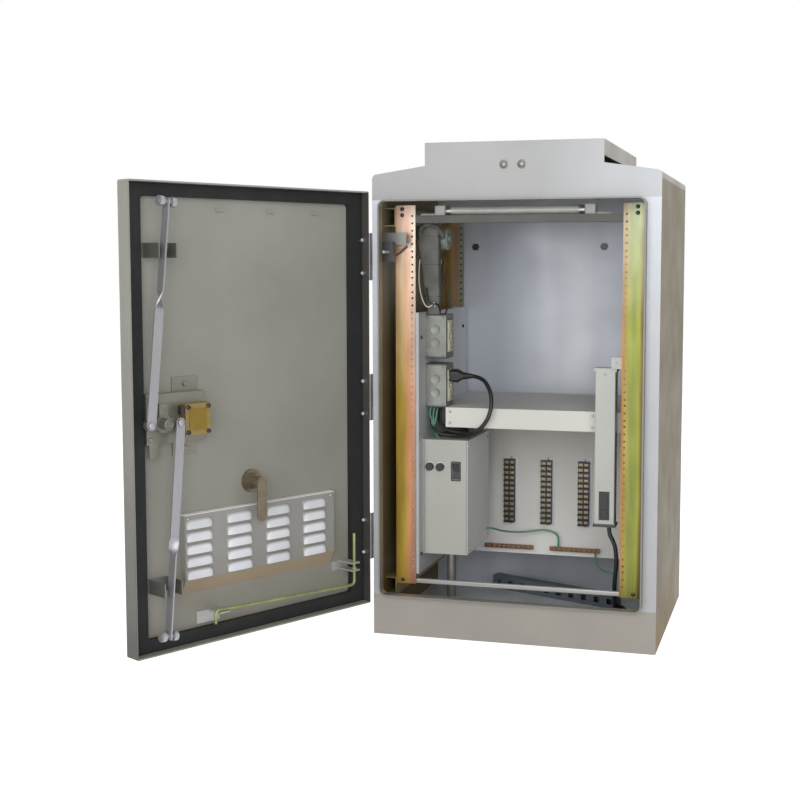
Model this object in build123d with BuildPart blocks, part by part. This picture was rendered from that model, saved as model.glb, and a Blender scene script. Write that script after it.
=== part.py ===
"""Roadside utility cabinet: a 24 inch wide aluminium housing with a 19 inch rack inside.

Frame: millimetres, +Z up, the front faces -Y, the origin is at the centre of the base.
The door is drawn in its own plane, where u runs from the hinge side to the free side,
v runs up, and w runs outwards through the door from the edge of its flanges.
"""

import os
from math import cos, radians, sin, tan

from build123d import *

os.makedirs("parts", exist_ok=True)

# Cabinet shell
cabinet_width = 610.0
cabinet_depth = 508.0
eave_height = 990.0
sheet = 3.0
roof_slope = 8.4
eave_radius = 10.0
eave_skirt = 15.0
ridge_radius = 60.0

# Door opening and its raised lip
opening_left = -284.5
opening_right = 274.0
opening_bottom = 91.5
opening_top = 934.0
opening_radius = 12.0
lip_wall = 3.0

# Vent hood on the roof
hood_half_width = 188.5
hood_rise = 65.0
hood_skirt = 33.0
hood_slot_length = 60.0
hood_slot_width = 9.0
hood_slot_pitch = 24.0
hood_slot_rows = 5
hood_bolt_x = 18.8
hood_bolt_drop = 48.0
hood_bolt_radius = 5.0
hood_bolt_head = 4.0
bolt_shank_radius = 3.0

# Base and back fixings
anchor_spacing_x = 500.0
anchor_spacing_y = 380.0
anchor_hole_radius = 7.0
conduit_hole_clearance = 0.4
pole_bolt_left = -204.0
pole_bolt_right = 114.0
pole_bolt_z = 844.0
pole_bolt_radius = 5.0
pole_bolt_length = 38.0
pole_washer_radius = 10.0
pole_washer_sheet = 2.0
pole_nut_radius = 9.0
pole_nut_height = 8.0

# Equipment rack
rack_centre = -7.0
rack_clear_width = 450.8
rack_unit = 44.45
rack_units = 18
rail_hole_spacing = 465.1
rail_hole_radius = 2.4
rail_hole_sides = 8
rail_margin = 16.4
rail_bottom = 96.0
rail_width = 45.0
rail_return = 40.0
rail_sheet = 2.5
front_rail_setback = 77.0
rear_rail_setback = 16.0
support_height = 40.0
support_sheet = 2.5
upper_support_z = 884.0
lower_support_z = 68.0
tie_bar_size = 10.0
tie_bar_z = 97.0
tie_bar_radius = 2.0

# Light across the top
light_channel_bottom = 891.0
light_channel_height = 16.0
light_channel_depth = 34.0
light_channel_sheet = 1.5
lamp_left = -168.0
lamp_right = 135.0
lamp_radius = 9.0
lamp_setback = 16.5
holder_length = 24.0
holder_depth = 22.0
holder_height = 21.0
holder_corner = 4.0
holder_strap = 32.0
holder_strap_height = 4.0

# Left mounting plate with its outlet boxes
plate_face_x = -226.0
plate_sheet = 2.5
plate_bottom = 118.0
plate_top = 697.0
plate_flange = 34.0
outlet_depth = 48.0
outlet_width = 62.0
outlet_height = 98.0
outlet_setback = 53.0
outlet_upper_bottom = 594.0
outlet_lower_bottom = 484.0
outlet_wall = 1.6
outlet_corner = 6.0
receptacle_width = 34.0
receptacle_height = 70.0
receptacle_stand = 2.0
receptacle_depth = 24.0
plug_length = 32.0
plug_width = 28.0
plug_height = 25.0
plug_corner = 6.0
plug_taper = 12.0
plug_neck = 14.0
plug_z = 554.0
lead_radius = 4.5

# Power supply
supply_width = 103.0
supply_depth = 198.0
supply_height = 256.0
supply_bottom = 159.0
supply_setback = 33.0
supply_wall = 2.0
supply_edge = 2.0
fuse_x = (-208.8, -185.0)
fuse_z = 355.0
fuse_radius = 9.0
fuse_height = 9.0
fuse_edge = 1.5
fuse_slot_length = 12.0
fuse_slot_width = 1.5
fuse_hole_radius = 6.5
fuse_shaft = 8.0
rocker_x = -149.8
rocker_z = 346.0
rocker_width = 16.0
rocker_height = 36.0
rocker_depth = 10.0
rocker_stand = 2.5
rocker_gap = 0.4
conduit_radius = 10.6
conduit_wall = 2.4
conduit_setback = 84.0
conduit_x = -182.0
locknut_radius = 15.0
locknut_height = 4.0

# Equipment shelf and terminal board
shelf_setback = 47.0
shelf_bottom = 442.5
shelf_height = 43.7
shelf_sheet = 2.0
shelf_left = -177.0
shelf_right = 214.0
shelf_notch = 72.0
board_setback = 88.0
board_sheet = 3.0
board_bottom = 106.0
board_return = 12.0
block_x = (-91.5, -1.5, 88.0)
block_width = 26.5
block_bottom = 183.0
block_height = 153.0
block_depth = 16.0
block_ways = 12
block_rib = 2.0
block_groove_depth = 7.0
backplate_border = 6.0
backplate_sheet = 2.0
bus_bar_x = (-91.5, 68.5)
bus_bar_length = 120.0
bus_bar_z = 124.0
bus_bar_size = 10.0
bus_bar_sheet = 5.0
bus_bar_post_radius = 4.0
bus_bar_stand = 10.0
wire_radius = 2.2
wire_sides = 8
wire_start = 15.0

# Vertical power strip
strip_left = 161.0
strip_width = 43.0
strip_bottom = 250.0
strip_height = 326.0
strip_depth = 35.0
strip_edge = 2.0
strip_cap = 7.0
strip_cap_overhang = 2.5
strip_window_width = 23.0
strip_window_height = 62.0
strip_window_bottom = 258.0
strip_window_depth = 2.0
strip_ear_height = 24.0
strip_ear_width = 36.0
strip_ear_sheet = 2.5
strip_ear_lap = 8.0
strip_foot_width = 16.0

# Door switch, temperature switch and lead sleeve
switch_setback = 54.0
switch_bracket_bottom = 844.0
switch_bracket_height = 26.0
switch_bracket_reach = 56.0
switch_bracket_sheet = 2.5
switch_bracket_fold = 20.0
switch_width = 25.0
switch_height = 42.0
switch_depth = 24.0
switch_overlap = 5.0
switch_offset = 19.0
plunger_offset = 24.0
plunger_radius = 3.0
plunger_length = 44.0
plunger_seat = 6.0
plunger_travel = 5.0
sensor_radius = 26.0
sensor_depth = 22.0
sensor_edge = 3.0
sensor_x = -207.0
sensor_setback = 105.0
sensor_z = 859.0
sensor_arm_z = 900.0
sensor_arm_width = 16.0
sensor_arm_sheet = 3.0
sleeve_top = 884.0
sleeve_top_x = -223.0
sleeve_bottom_x = -208.0
sleeve_top_width = 54.0
sleeve_bottom_width = 28.0
sleeve_depth = 24.0
sleeve_foot_depth = 16.0
sleeve_corner = 5.0
sleeve_setback = 65.0
sleeve_bracket_height = 20.0
sleeve_bracket_depth = 30.0

# Duct on the floor
duct_x = 20.0
duct_y = 146.0
duct_length = 350.0
duct_width = 25.0
duct_height = 33.0
duct_wall = 1.5
duct_turn = -22.3
duct_slots = 10
duct_slot_share = 0.4

# Door
door_width = 592.0
door_bottom = 71.0
door_top = 955.0
door_depth = 33.0
door_sheet = 3.0
door_gap = 2.0
door_corner_radius = 4.0
door_open_angle = 118.0
gasket_side_width = 35.0
gasket_end_width = 25.0
gasket_height = 12.0
gasket_corner = 8.0
gasket_gap = 0.3

# Hinges
hinge_radius = 5.0
hinge_pin_radius = 2.5
hinge_fit = 0.05
hinge_leaf = 2.5
hinge_leaf_width = 22.0
hinge_height = 100.0
hinge_knuckle = 30.0
hinge_axial_gap = 0.3
hinge_centres = (217.0, 518.0, 818.0)
hinge_bolt_spacing = 70.0
hinge_bolt_w = 12.5
hinge_bolt_radius = 2.5
hinge_bolt_clearance = 0.05
acorn_radius = 5.0
acorn_height = 6.0
acorn_dome_radius = 4.2
acorn_dome = 4.0
acorn_taper = 25.0

# Three-point latch
cam_u = 529.0
cam_v = 508.0
cam_pin_offset = 32.3
cam_outer_w = -8.0
cam_sheet = 4.0
cam_end_radius = 10.0
cam_hub_radius = 17.0
cam_lobe_length = 40.0
cam_lobe_width = 20.0
hub_radius = 10.5
hub_face_w = -24.0
spindle_radius = 6.0
running_gap = 0.05
face_gap = 0.4
rod_w = -15.0
rod_width = 19.0
rod_sheet = 3.2
rod_pin_radius = 4.0
rod_collar_radius = 7.0
rod_washer_sheet = 1.5
upper_end_u = 520.0
upper_end_v = 916.0
lower_end_u = 532.0
lower_end_v = 109.5
twist_start = 212.0
twist_length = 36.0
twist_steps = 3
roller_radius = 9.5
roller_width = 9.0
roller_spread = 13.0
axle_radius = 3.0
axle_collar_radius = 5.0
axle_head = 1.5
rod_end_margin = 6.0
case_left = 553.0
case_right = 424.0
case_bottom = 468.0
case_top = 562.0
case_face_w = 12.5
case_sheet = 2.5
case_foot = 28.0
upper_foot_left = 486.0
upper_foot_right = 427.0
lower_foot_left = 486.0
lower_foot_right = 433.0
case_tongue_left = 548.0
case_tongue_right = 528.0
case_tongue = 26.0
lock_left = 482.0
lock_right = 424.0
lock_bottom = 481.0
lock_top = 541.0
lock_face_w = -10.0
lock_bolt_width = 16.0
lock_bolt_sheet = 9.0
lock_bolt_v = 530.0
lock_bolt_w = -3.5
lock_bolt_tip_u = 491.0
lock_bolt_length = 34.0
lock_bolt_gap = 0.3
lock_bolt_room = 3.0
handle_boss_radius = 15.0
handle_boss_height = 16.0
handle_length = 120.0
handle_width = 22.0
handle_sheet = 10.0

# Rod guides
guide_left = 544.5
guide_right = 504.0
guide_foot = 8.0
guide_height = 27.0
guide_sheet = 2.5
guide_tip_w = -23.6
guide_centres = (198.5, 827.5)

# Cam lock
cam_lock_u = 300.0
cam_lock_v = 371.0
cam_lock_radius = 12.0
cam_lock_washer_radius = 23.0
cam_lock_washer_height = 6.0
cam_lock_nut_radius = 17.0
cam_lock_nut_height = 9.0
cam_lock_arm_length = 66.0
cam_lock_arm_width = 24.0
cam_lock_arm_sheet = 3.0
cam_lock_end_w = -8.0
cam_lock_head_radius = 15.0
cam_lock_head_height = 4.0

# Louvred vent
vent_left = 470.0
vent_right = 90.0
vent_bottom = 168.0
vent_slope_top = 197.0
vent_top = 325.0
vent_face_w = 16.0
vent_sheet = 1.5
louvre_first_u = 160.0
louvre_first_v = 207.0
louvre_width = 56.0
louvre_height = 12.0
louvre_stand = 6.0
louvre_columns = 4
louvre_column_pitch = 90.3
louvre_rows = 5
louvre_row_pitch = 21.0
louvre_end = 1.5

# Stay rod
stay_radius = 3.0
stay_fit = 0.05
stay_u = 52.0
stay_w = -5.0
stay_top = 232.0
stay_elbow_v = 121.0
stay_end_u = 416.0
stay_end_v = 134.0
stay_hook_v = 108.0
stay_bend = 9.0
stay_collar_radius = 5.5
stay_collar_height = 4.0
stay_bracket_v = 151.0
stay_bracket_height = 19.0
stay_bracket_sheet = 3.0
stay_bracket_left = 87.0
stay_bracket_right = 42.0
stay_bracket_tab = 22.0
stay_bracket_tip_w = -12.0
stay_rest_left = 437.0
stay_rest_right = 383.0
stay_rest_jaw = 24.0
stay_rest_jaw_u = 396.0
stay_rest_height = 24.0
stay_rest_tip_w = -9.0

# Values that follow from the ones above
half_width = cabinet_width / 2
front_y = -cabinet_depth / 2
back_y = cabinet_depth / 2
front_inner_y = front_y + sheet
back_inner_y = back_y - sheet
side_inner_x = half_width - sheet
opening_width = opening_right - opening_left
opening_height = opening_top - opening_bottom
opening_x = (opening_left + opening_right) / 2
opening_z = (opening_bottom + opening_top) / 2
lip_width = opening_width + 2 * lip_wall
lip_height = opening_height + 2 * lip_wall
lip_radius = opening_radius + lip_wall
lip_bottom = opening_bottom - lip_wall
lip_top = opening_top + lip_wall
slope_rise = tan(radians(roof_slope))
ridge_height = eave_height + half_width * slope_rise
roof_drop = sheet / cos(radians(roof_slope))
hood_foot_height = eave_height + (half_width - hood_half_width) * slope_rise
hood_height = eave_height + hood_rise
hood_bolt_z = hood_height - hood_bolt_drop
skirt_height = eave_height - eave_skirt
door_edge_y = front_y - door_gap
door_left_x = -half_width
door_floor_w = door_depth - door_sheet
gasket_face_w = door_floor_w - gasket_height
lip_edge_y = door_edge_y - gasket_face_w + gasket_gap
rail_height = rack_units * rack_unit + 2 * rail_margin
rail_inner = rack_clear_width / 2
rail_outer = rail_inner + rail_width
rail_left_outer = rack_centre - rail_outer
tie_length = 2 * rail_outer - 2 * rail_sheet
rail_right_outer = rack_centre + rail_outer
front_rail_y = front_y + front_rail_setback
rear_rail_y = back_y - rear_rail_setback
rail_back_y = front_rail_y + rail_sheet
rear_rail_back_y = rear_rail_y + rail_sheet
supply_left = plate_face_x
supply_right = supply_left + supply_width
supply_top = supply_bottom + supply_height
supply_front_y = front_rail_y + supply_setback
supply_back_y = supply_front_y + supply_depth
conduit_y = supply_front_y + conduit_setback
outlet_front_y = front_rail_y + outlet_setback
shelf_front_y = front_rail_y + shelf_setback
shelf_notch_y = shelf_front_y + shelf_notch
board_y = rear_rail_y - board_setback
lamp_y = rail_back_y + lamp_setback
switch_y = front_y + switch_setback
sensor_y = front_rail_y + sensor_setback
sleeve_y = front_rail_y + sleeve_setback
outlet_face_x = plate_face_x + outlet_depth
outlet_y = outlet_front_y + outlet_width / 2
receptacle_face_x = outlet_face_x + receptacle_stand
shelf_top = shelf_bottom + shelf_height
strip_right = strip_left + strip_width
strip_back_y = shelf_front_y
strip_front_y = strip_back_y - strip_depth


# Planes
def front_plane(y):
    """Upright plane facing the front at depth y: local x is X, local y is Z."""
    return Plane(origin=(0, y, 0), x_dir=(1, 0, 0), z_dir=(0, -1, 0))


def side_plane(x):
    """Upright plane facing right at x: local x is Y, local y is Z."""
    return Plane(origin=(x, 0, 0), x_dir=(0, 1, 0), z_dir=(1, 0, 0))


hinge_axis_x = door_left_x - hinge_radius
hinge_axis_y = door_edge_y - hinge_radius
door_shut_plane = Plane(origin=(door_left_x, door_edge_y, 0), x_dir=(1, 0, 0), z_dir=(0, -1, 0))
hinge_location = Location((hinge_axis_x, hinge_axis_y, 0), (0, 0, -door_open_angle))
door_plane = Plane(hinge_location * Location((-hinge_axis_x, -hinge_axis_y, 0)) * door_shut_plane.location)


def door_face(w):
    """Plane parallel to the door at w, with local x = u and local y = v."""
    return door_plane.offset(w)


def door_point(u, v, w=0.0):
    """World position of a point given in the door's own coordinates."""
    return door_plane.from_local_coords(Vector(u, v, w))


def door_section(v):
    """Level plane through the door at height v: local x = u, local y = -w."""
    return Plane(origin=door_point(0, v), x_dir=door_plane.x_dir, z_dir=(0, 0, 1))


def door_upright(u):
    """Plane across the door at u, facing the hinge side: local x = v, local y = -w."""
    return Plane(origin=door_point(u, 0), x_dir=(0, 0, 1), z_dir=-door_plane.x_dir)


def save(builder, name):
    """Label a finished piece and write its file."""
    builder.part.label = name
    export_step(builder.part, f"parts/{name}.step")


# Front frame: a header that carries the gable, two stiles and a sill, welded edge to edge
def frame_piece(name, outline, fillet_eaves=False):
    """One flat sheet of the front frame, cut back from the rounded door opening."""
    with BuildPart() as piece:
        with BuildSketch(front_plane(front_inner_y)) as face:
            with BuildLine():
                Polyline(*outline, close=True)
            make_face()
            if fillet_eaves:
                corners = face.sketch_local.vertices().group_by(Axis.X)
                outer = [max(corners[0], key=lambda v: v.Y), max(corners[-1], key=lambda v: v.Y)]
                fillet(outer, eave_radius)
            with Locations((opening_x, opening_z)):
                RectangleRounded(lip_width, lip_height, lip_radius, mode=Mode.SUBTRACT)
            if fillet_eaves:
                with Locations((-hood_bolt_x, hood_bolt_z), (hood_bolt_x, hood_bolt_z)):
                    Circle(bolt_shank_radius, mode=Mode.SUBTRACT)
        extrude(amount=sheet)
    save(piece, name)


gable = [
    (-half_width, lip_top),
    (-half_width, eave_height),
    (-hood_half_width, hood_foot_height),
    (-hood_half_width, hood_height),
    (hood_half_width, hood_height),
    (hood_half_width, hood_foot_height),
    (half_width, eave_height),
    (half_width, lip_top),
]
sill = [
    (-half_width, 0),
    (half_width, 0),
    (half_width, lip_bottom),
    (-half_width, lip_bottom),
]
stile_left_inner = opening_left + lip_radius
stile_right_inner = opening_right - lip_radius
stile_left = [
    (-half_width, lip_bottom),
    (stile_left_inner, lip_bottom),
    (stile_left_inner, lip_top),
    (-half_width, lip_top),
]
stile_right = [
    (half_width, lip_bottom),
    (stile_right_inner, lip_bottom),
    (stile_right_inner, lip_top),
    (half_width, lip_top),
]
frame_piece("front_header", gable, fillet_eaves=True)
frame_piece("front_stile_left", stile_left)
frame_piece("front_stile_right", stile_right)
frame_piece("front_sill", sill)

# Lip: a rolled ring that stands proud of the frame and meets the door's gasket
with BuildPart() as opening_lip:
    with BuildSketch(front_plane(front_inner_y)):
        with Locations((opening_x, opening_z)):
            RectangleRounded(lip_width, lip_height, lip_radius)
            RectangleRounded(opening_width, opening_height, opening_radius, mode=Mode.SUBTRACT)
    extrude(amount=front_inner_y - lip_edge_y)
save(opening_lip, "opening_lip")


# Side, back and floor sheets
def side_sheet(name, inner_x):
    """Flat side panel from the front frame to the back, under the roof's folded skirt."""
    with BuildPart() as panel:
        with BuildSketch(side_plane(inner_x)):
            with Locations(((front_inner_y + back_y) / 2, skirt_height / 2)):
                Rectangle(back_y - front_inner_y, skirt_height)
        extrude(amount=sheet)
    save(panel, name)


side_sheet("side_panel_left", -half_width)
side_sheet("side_panel_right", side_inner_x)

eave_inner = eave_height - roof_drop + sheet * slope_rise
roof_outer_line = [
    (-half_width, skirt_height),
    (-half_width, eave_height),
    (0, ridge_height),
    (half_width, eave_height),
    (half_width, skirt_height),
]
roof_inner_line = [
    (-side_inner_x, skirt_height),
    (-side_inner_x, eave_inner),
    (0, ridge_height - roof_drop),
    (side_inner_x, eave_inner),
    (side_inner_x, skirt_height),
]
outer_radii = [eave_radius, ridge_radius, eave_radius]
inner_radii = [eave_radius - sheet, ridge_radius - sheet, eave_radius - sheet]

with BuildPart() as back_panel:
    with BuildSketch(front_plane(back_y)):
        with BuildLine():
            FilletPolyline(*roof_inner_line, radius=inner_radii)
            Polyline(
                (side_inner_x, skirt_height),
                (side_inner_x, 0),
                (-side_inner_x, 0),
                (-side_inner_x, skirt_height),
            )
        make_face()
        with Locations((pole_bolt_left, pole_bolt_z), (pole_bolt_right, pole_bolt_z)):
            Circle(pole_bolt_radius, mode=Mode.SUBTRACT)
    extrude(amount=sheet)
save(back_panel, "back_panel")

with BuildPart() as floor_pan:
    with BuildSketch(Plane.XY):
        Rectangle(2 * side_inner_x, back_inner_y - front_inner_y)
        with GridLocations(anchor_spacing_x, anchor_spacing_y, 2, 2):
            Circle(anchor_hole_radius, mode=Mode.SUBTRACT)
        with Locations((conduit_x, conduit_y)):
            Circle(conduit_radius + conduit_hole_clearance, mode=Mode.SUBTRACT)
    extrude(amount=sheet)
save(floor_pan, "floor_pan")

# Roof: one folded gable sheet with a skirt on each side, slotted below the hood
slot_spacing = hood_half_width - hood_slot_length
with BuildPart() as roof_panel:
    with BuildSketch(front_plane(back_y)):
        with BuildLine():
            FilletPolyline(*roof_outer_line, radius=outer_radii)
            FilletPolyline(*roof_inner_line, radius=inner_radii)
            Line((-half_width, skirt_height), (-side_inner_x, skirt_height))
            Line((half_width, skirt_height), (side_inner_x, skirt_height))
        make_face()
    extrude(amount=back_y - front_inner_y)
    with BuildSketch(Plane.XY.offset(hood_foot_height - 2 * sheet)):
        with GridLocations(slot_spacing, hood_slot_pitch, 2, hood_slot_rows):
            Rectangle(hood_slot_length, hood_slot_width)
    extrude(amount=ridge_height - hood_foot_height + 4 * sheet, mode=Mode.SUBTRACT)
save(roof_panel, "roof_panel")

# Hood: a folded cap over the slots, open under its two side skirts, closed at the back
hood_inner = hood_half_width - sheet
hood_skirt_z = hood_height - hood_skirt
with BuildPart() as roof_hood:
    with BuildSketch(front_plane(back_y)):
        with BuildLine():
            Polyline(
                (-hood_half_width, hood_skirt_z),
                (-hood_half_width, hood_height),
                (hood_half_width, hood_height),
                (hood_half_width, hood_skirt_z),
                (hood_inner, hood_skirt_z),
                (hood_inner, hood_height - sheet),
                (-hood_inner, hood_height - sheet),
                (-hood_inner, hood_skirt_z),
                close=True,
            )
        make_face()
    extrude(amount=back_y - front_inner_y)
    with BuildSketch(front_plane(back_y)) as hood_end:
        with Locations((0, hood_height - sheet - (hood_height - hood_foot_height) / 2)):
            Rectangle(2 * hood_inner, hood_height - hood_foot_height)
        with BuildLine():
            FilletPolyline(*roof_outer_line, radius=outer_radii)
            Line((half_width, skirt_height), (-half_width, skirt_height))
        make_face(mode=Mode.SUBTRACT)
    extrude(amount=sheet)
save(roof_hood, "roof_hood")

with BuildPart() as shell_bolts:
    with BuildSketch(front_plane(front_y)):
        with Locations((-hood_bolt_x, hood_bolt_z), (hood_bolt_x, hood_bolt_z)):
            Circle(hood_bolt_radius)
    extrude(amount=hood_bolt_head)
    with BuildSketch(front_plane(front_y)):
        with Locations((-hood_bolt_x, hood_bolt_z), (hood_bolt_x, hood_bolt_z)):
            Circle(bolt_shank_radius)
    extrude(amount=-2 * sheet)
    with BuildSketch(front_plane(back_inner_y)):
        with Locations((pole_bolt_left, pole_bolt_z), (pole_bolt_right, pole_bolt_z)):
            RegularPolygon(pole_nut_radius, 6)
    extrude(amount=pole_nut_height)
    with BuildSketch(front_plane(back_inner_y)):
        with Locations((pole_bolt_left, pole_bolt_z), (pole_bolt_right, pole_bolt_z)):
            Circle(pole_bolt_radius)
    extrude(amount=-pole_bolt_length)
    with BuildSketch(front_plane(back_y)):
        with Locations((pole_bolt_left, pole_bolt_z), (pole_bolt_right, pole_bolt_z)):
            Circle(pole_washer_radius)
    extrude(amount=-pole_washer_sheet)
save(shell_bolts, "shell_bolts")


# Rack rails: angles, with the standard three-hole pattern in every unit of the front pair,
# where the end holes are round and those between have fewer sides
def rail_holes():
    """Heights of the holes above the rail's foot."""
    in_unit = (6.35, 22.225, 38.1)
    return [rail_margin + unit * rack_unit + step for unit in range(rack_units) for step in in_unit]


def rack_rail(name, side, face_y, return_y, holed):
    """One angle: side is -1 on the left and 1 on the right, return_y is its side flange's end."""
    inner = rack_centre + side * rail_inner
    outer = rack_centre + side * rail_outer
    hole_x = rack_centre + side * rail_hole_spacing / 2
    back = face_y + rail_sheet
    near_y = min(face_y, return_y)
    far_y = max(back, return_y)
    with BuildPart() as rail:
        with BuildSketch(Plane.XY.offset(rail_bottom)):
            with Locations(((inner + outer) / 2, (face_y + back) / 2)):
                Rectangle(rail_width, rail_sheet)
            with Locations((outer - side * rail_sheet / 2, (near_y + far_y) / 2)):
                Rectangle(rail_sheet, far_y - near_y)
        extrude(amount=rail_height)
        if holed:
            lowest, *between, highest = [(hole_x, rail_bottom + height) for height in rail_holes()]
            with BuildSketch(front_plane(face_y)):
                with Locations(lowest, highest):
                    Circle(rail_hole_radius)
                with Locations(*between):
                    RegularPolygon(rail_hole_radius, rail_hole_sides)
            extrude(amount=-rail_sheet, mode=Mode.SUBTRACT)
    save(rail, name)


front_return_y = front_rail_y + rail_return
rear_return_y = rear_rail_back_y - rail_return
rack_rail("rack_rail_front_left", -1, front_rail_y, front_return_y, True)
rack_rail("rack_rail_front_right", 1, front_rail_y, front_return_y, True)
rack_rail("rack_rail_rear_left", -1, rear_rail_y, rear_return_y, False)
rack_rail("rack_rail_rear_right", 1, rear_rail_y, rear_return_y, False)

# Rail supports: four channels open to the side walls, and the bar that ties the front rails
with BuildPart() as rail_supports:
    for web_x, wall_x in ((rail_left_outer, -side_inner_x), (rail_right_outer, side_inner_x)):
        side = 1 if wall_x > web_x else -1
        support_width = abs(wall_x - web_x)
        for support_z in (lower_support_z, upper_support_z):
            middle_z = support_z + support_height / 2
            with BuildSketch(front_plane(rear_rail_back_y)):
                with Locations(((web_x + wall_x) / 2, middle_z)):
                    Rectangle(support_width, support_height)
                with Locations(((web_x + wall_x + side * support_sheet) / 2, middle_z)):
                    Rectangle(
                        support_width - support_sheet,
                        support_height - 2 * support_sheet,
                        mode=Mode.SUBTRACT,
                    )
            extrude(amount=rear_rail_back_y - front_rail_y)
    with BuildSketch(side_plane(rail_left_outer + rail_sheet)):
        with Locations((rail_back_y + tie_bar_size / 2, tie_bar_z + tie_bar_size / 2)):
            RectangleRounded(tie_bar_size, tie_bar_size, tie_bar_radius)
    extrude(amount=tie_length)
save(rail_supports, "rail_supports")

# Light: a channel behind the front rails with two end holders on it, and a tube between them
light_channel_top = light_channel_bottom + light_channel_height
light_channel_y = rail_back_y + light_channel_depth / 2
lamp_z = light_channel_top + holder_height / 2
with BuildPart() as light_fixture:
    with BuildSketch(side_plane(rail_left_outer + rail_sheet)):
        with Locations((light_channel_y, light_channel_bottom + light_channel_height / 2)):
            Rectangle(light_channel_depth, light_channel_height)
        with Locations(
            (light_channel_y, light_channel_bottom + (light_channel_height - light_channel_sheet) / 2)
        ):
            Rectangle(
                light_channel_depth - 2 * light_channel_sheet,
                light_channel_height - light_channel_sheet,
                mode=Mode.SUBTRACT,
            )
    extrude(amount=tie_length)
    with BuildSketch(Plane.XY.offset(light_channel_top)):
        with Locations(
            (lamp_left - holder_length / 2, lamp_y), (lamp_right + holder_length / 2, lamp_y)
        ):
            RectangleRounded(holder_length, holder_depth, holder_corner)
    extrude(amount=holder_height)
    with BuildSketch(Plane.XY.offset(light_channel_top)):
        with Locations(
            (lamp_left - holder_length - holder_strap / 2, lamp_y),
            (lamp_right + holder_length + holder_strap / 2, lamp_y),
        ):
            Rectangle(holder_strap, holder_depth / 2)
    extrude(amount=holder_strap_height)
save(light_fixture, "light_fixture")

with BuildPart() as light_tube:
    with BuildSketch(side_plane(lamp_left)):
        with Locations((lamp_y, lamp_z)):
            Circle(lamp_radius)
    extrude(amount=lamp_right - lamp_left)
save(light_tube, "light_tube")

# Left mounting plate: a sheet with a flange folded behind each left rail
plate_back_x = plate_face_x - plate_sheet
with BuildPart() as side_plate:
    with BuildSketch(Plane.XY.offset(plate_bottom)):
        with Locations(((plate_back_x + plate_face_x) / 2, (rail_back_y + rear_rail_y) / 2)):
            Rectangle(plate_sheet, rear_rail_y - rail_back_y)
        for flange_y in (rail_back_y + plate_sheet / 2, rear_rail_y - plate_sheet / 2):
            with Locations((plate_face_x - plate_flange / 2, flange_y)):
                Rectangle(plate_flange, plate_sheet)
    extrude(amount=plate_top - plate_bottom)
save(side_plate, "side_plate")

# Outlet boxes: drawn steel boxes, each with a window for its receptacle
outlet_bottoms = (outlet_lower_bottom, outlet_upper_bottom)
outlet_centres = [(outlet_y, bottom + outlet_height / 2) for bottom in outlet_bottoms]
with BuildPart() as outlet_boxes:
    with BuildSketch(side_plane(plate_face_x)):
        with Locations(*outlet_centres):
            RectangleRounded(outlet_width, outlet_height, outlet_corner)
    extrude(amount=outlet_depth)
    with BuildSketch(side_plane(plate_face_x)):
        with Locations(*outlet_centres):
            RectangleRounded(
                outlet_width - 2 * outlet_wall,
                outlet_height - 2 * outlet_wall,
                outlet_corner - outlet_wall,
            )
    extrude(amount=outlet_depth - outlet_wall, mode=Mode.SUBTRACT)
    with BuildSketch(side_plane(outlet_face_x)):
        with Locations(*outlet_centres):
            Rectangle(receptacle_width, receptacle_height)
    extrude(amount=-outlet_wall, mode=Mode.SUBTRACT)
save(outlet_boxes, "outlet_boxes")

with BuildPart() as receptacles:
    with BuildSketch(side_plane(receptacle_face_x)):
        with Locations(*outlet_centres):
            Rectangle(receptacle_width, receptacle_height)
    extrude(amount=-receptacle_depth)
save(receptacles, "receptacles")

plug_end_x = receptacle_face_x + plug_length
with BuildPart() as supply_plug:
    with BuildSketch(side_plane(receptacle_face_x)):
        with Locations((outlet_y, plug_z)):
            RectangleRounded(plug_width, plug_height, plug_corner)
    extrude(amount=plug_length - plug_taper)
    with BuildSketch(side_plane(plug_end_x - plug_taper)):
        with Locations((outlet_y, plug_z)):
            RectangleRounded(plug_width, plug_height, plug_corner)
    with BuildSketch(side_plane(plug_end_x)):
        with Locations((outlet_y, plug_z)):
            RectangleRounded(plug_neck, plug_neck, plug_corner)
    loft(ruled=True)
save(supply_plug, "supply_plug")


# Cords and wires: straight runs joined by tangent arcs, as large as each corner allows
def cord_radii(points):
    """Corner radii: the arc takes 0.45 of the shorter of the two runs beside it."""
    corners = [Vector(*point) for point in points]
    radii = []
    for before, corner, after in zip(corners, corners[1:], corners[2:]):
        shorter = min((corner - before).length, (after - corner).length)
        turn = (corner - before).get_angle(after - corner)
        radii.append(0.45 * shorter / tan(radians(turn / 2)))
    return radii


def add_cord(points, radius, sides=0):
    """One cord along its route, round or with flat sides, added to the part being built."""
    start = Vector(*points[0])
    with BuildLine() as centre_line:
        FilletPolyline(*points, radius=cord_radii(points))
    with BuildSketch(Plane(origin=start, z_dir=Vector(*points[1]) - start)) as section:
        if sides:
            RegularPolygon(radius, sides)
        else:
            Circle(radius)
    sweep(section.sketch, path=centre_line.line)


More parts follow.
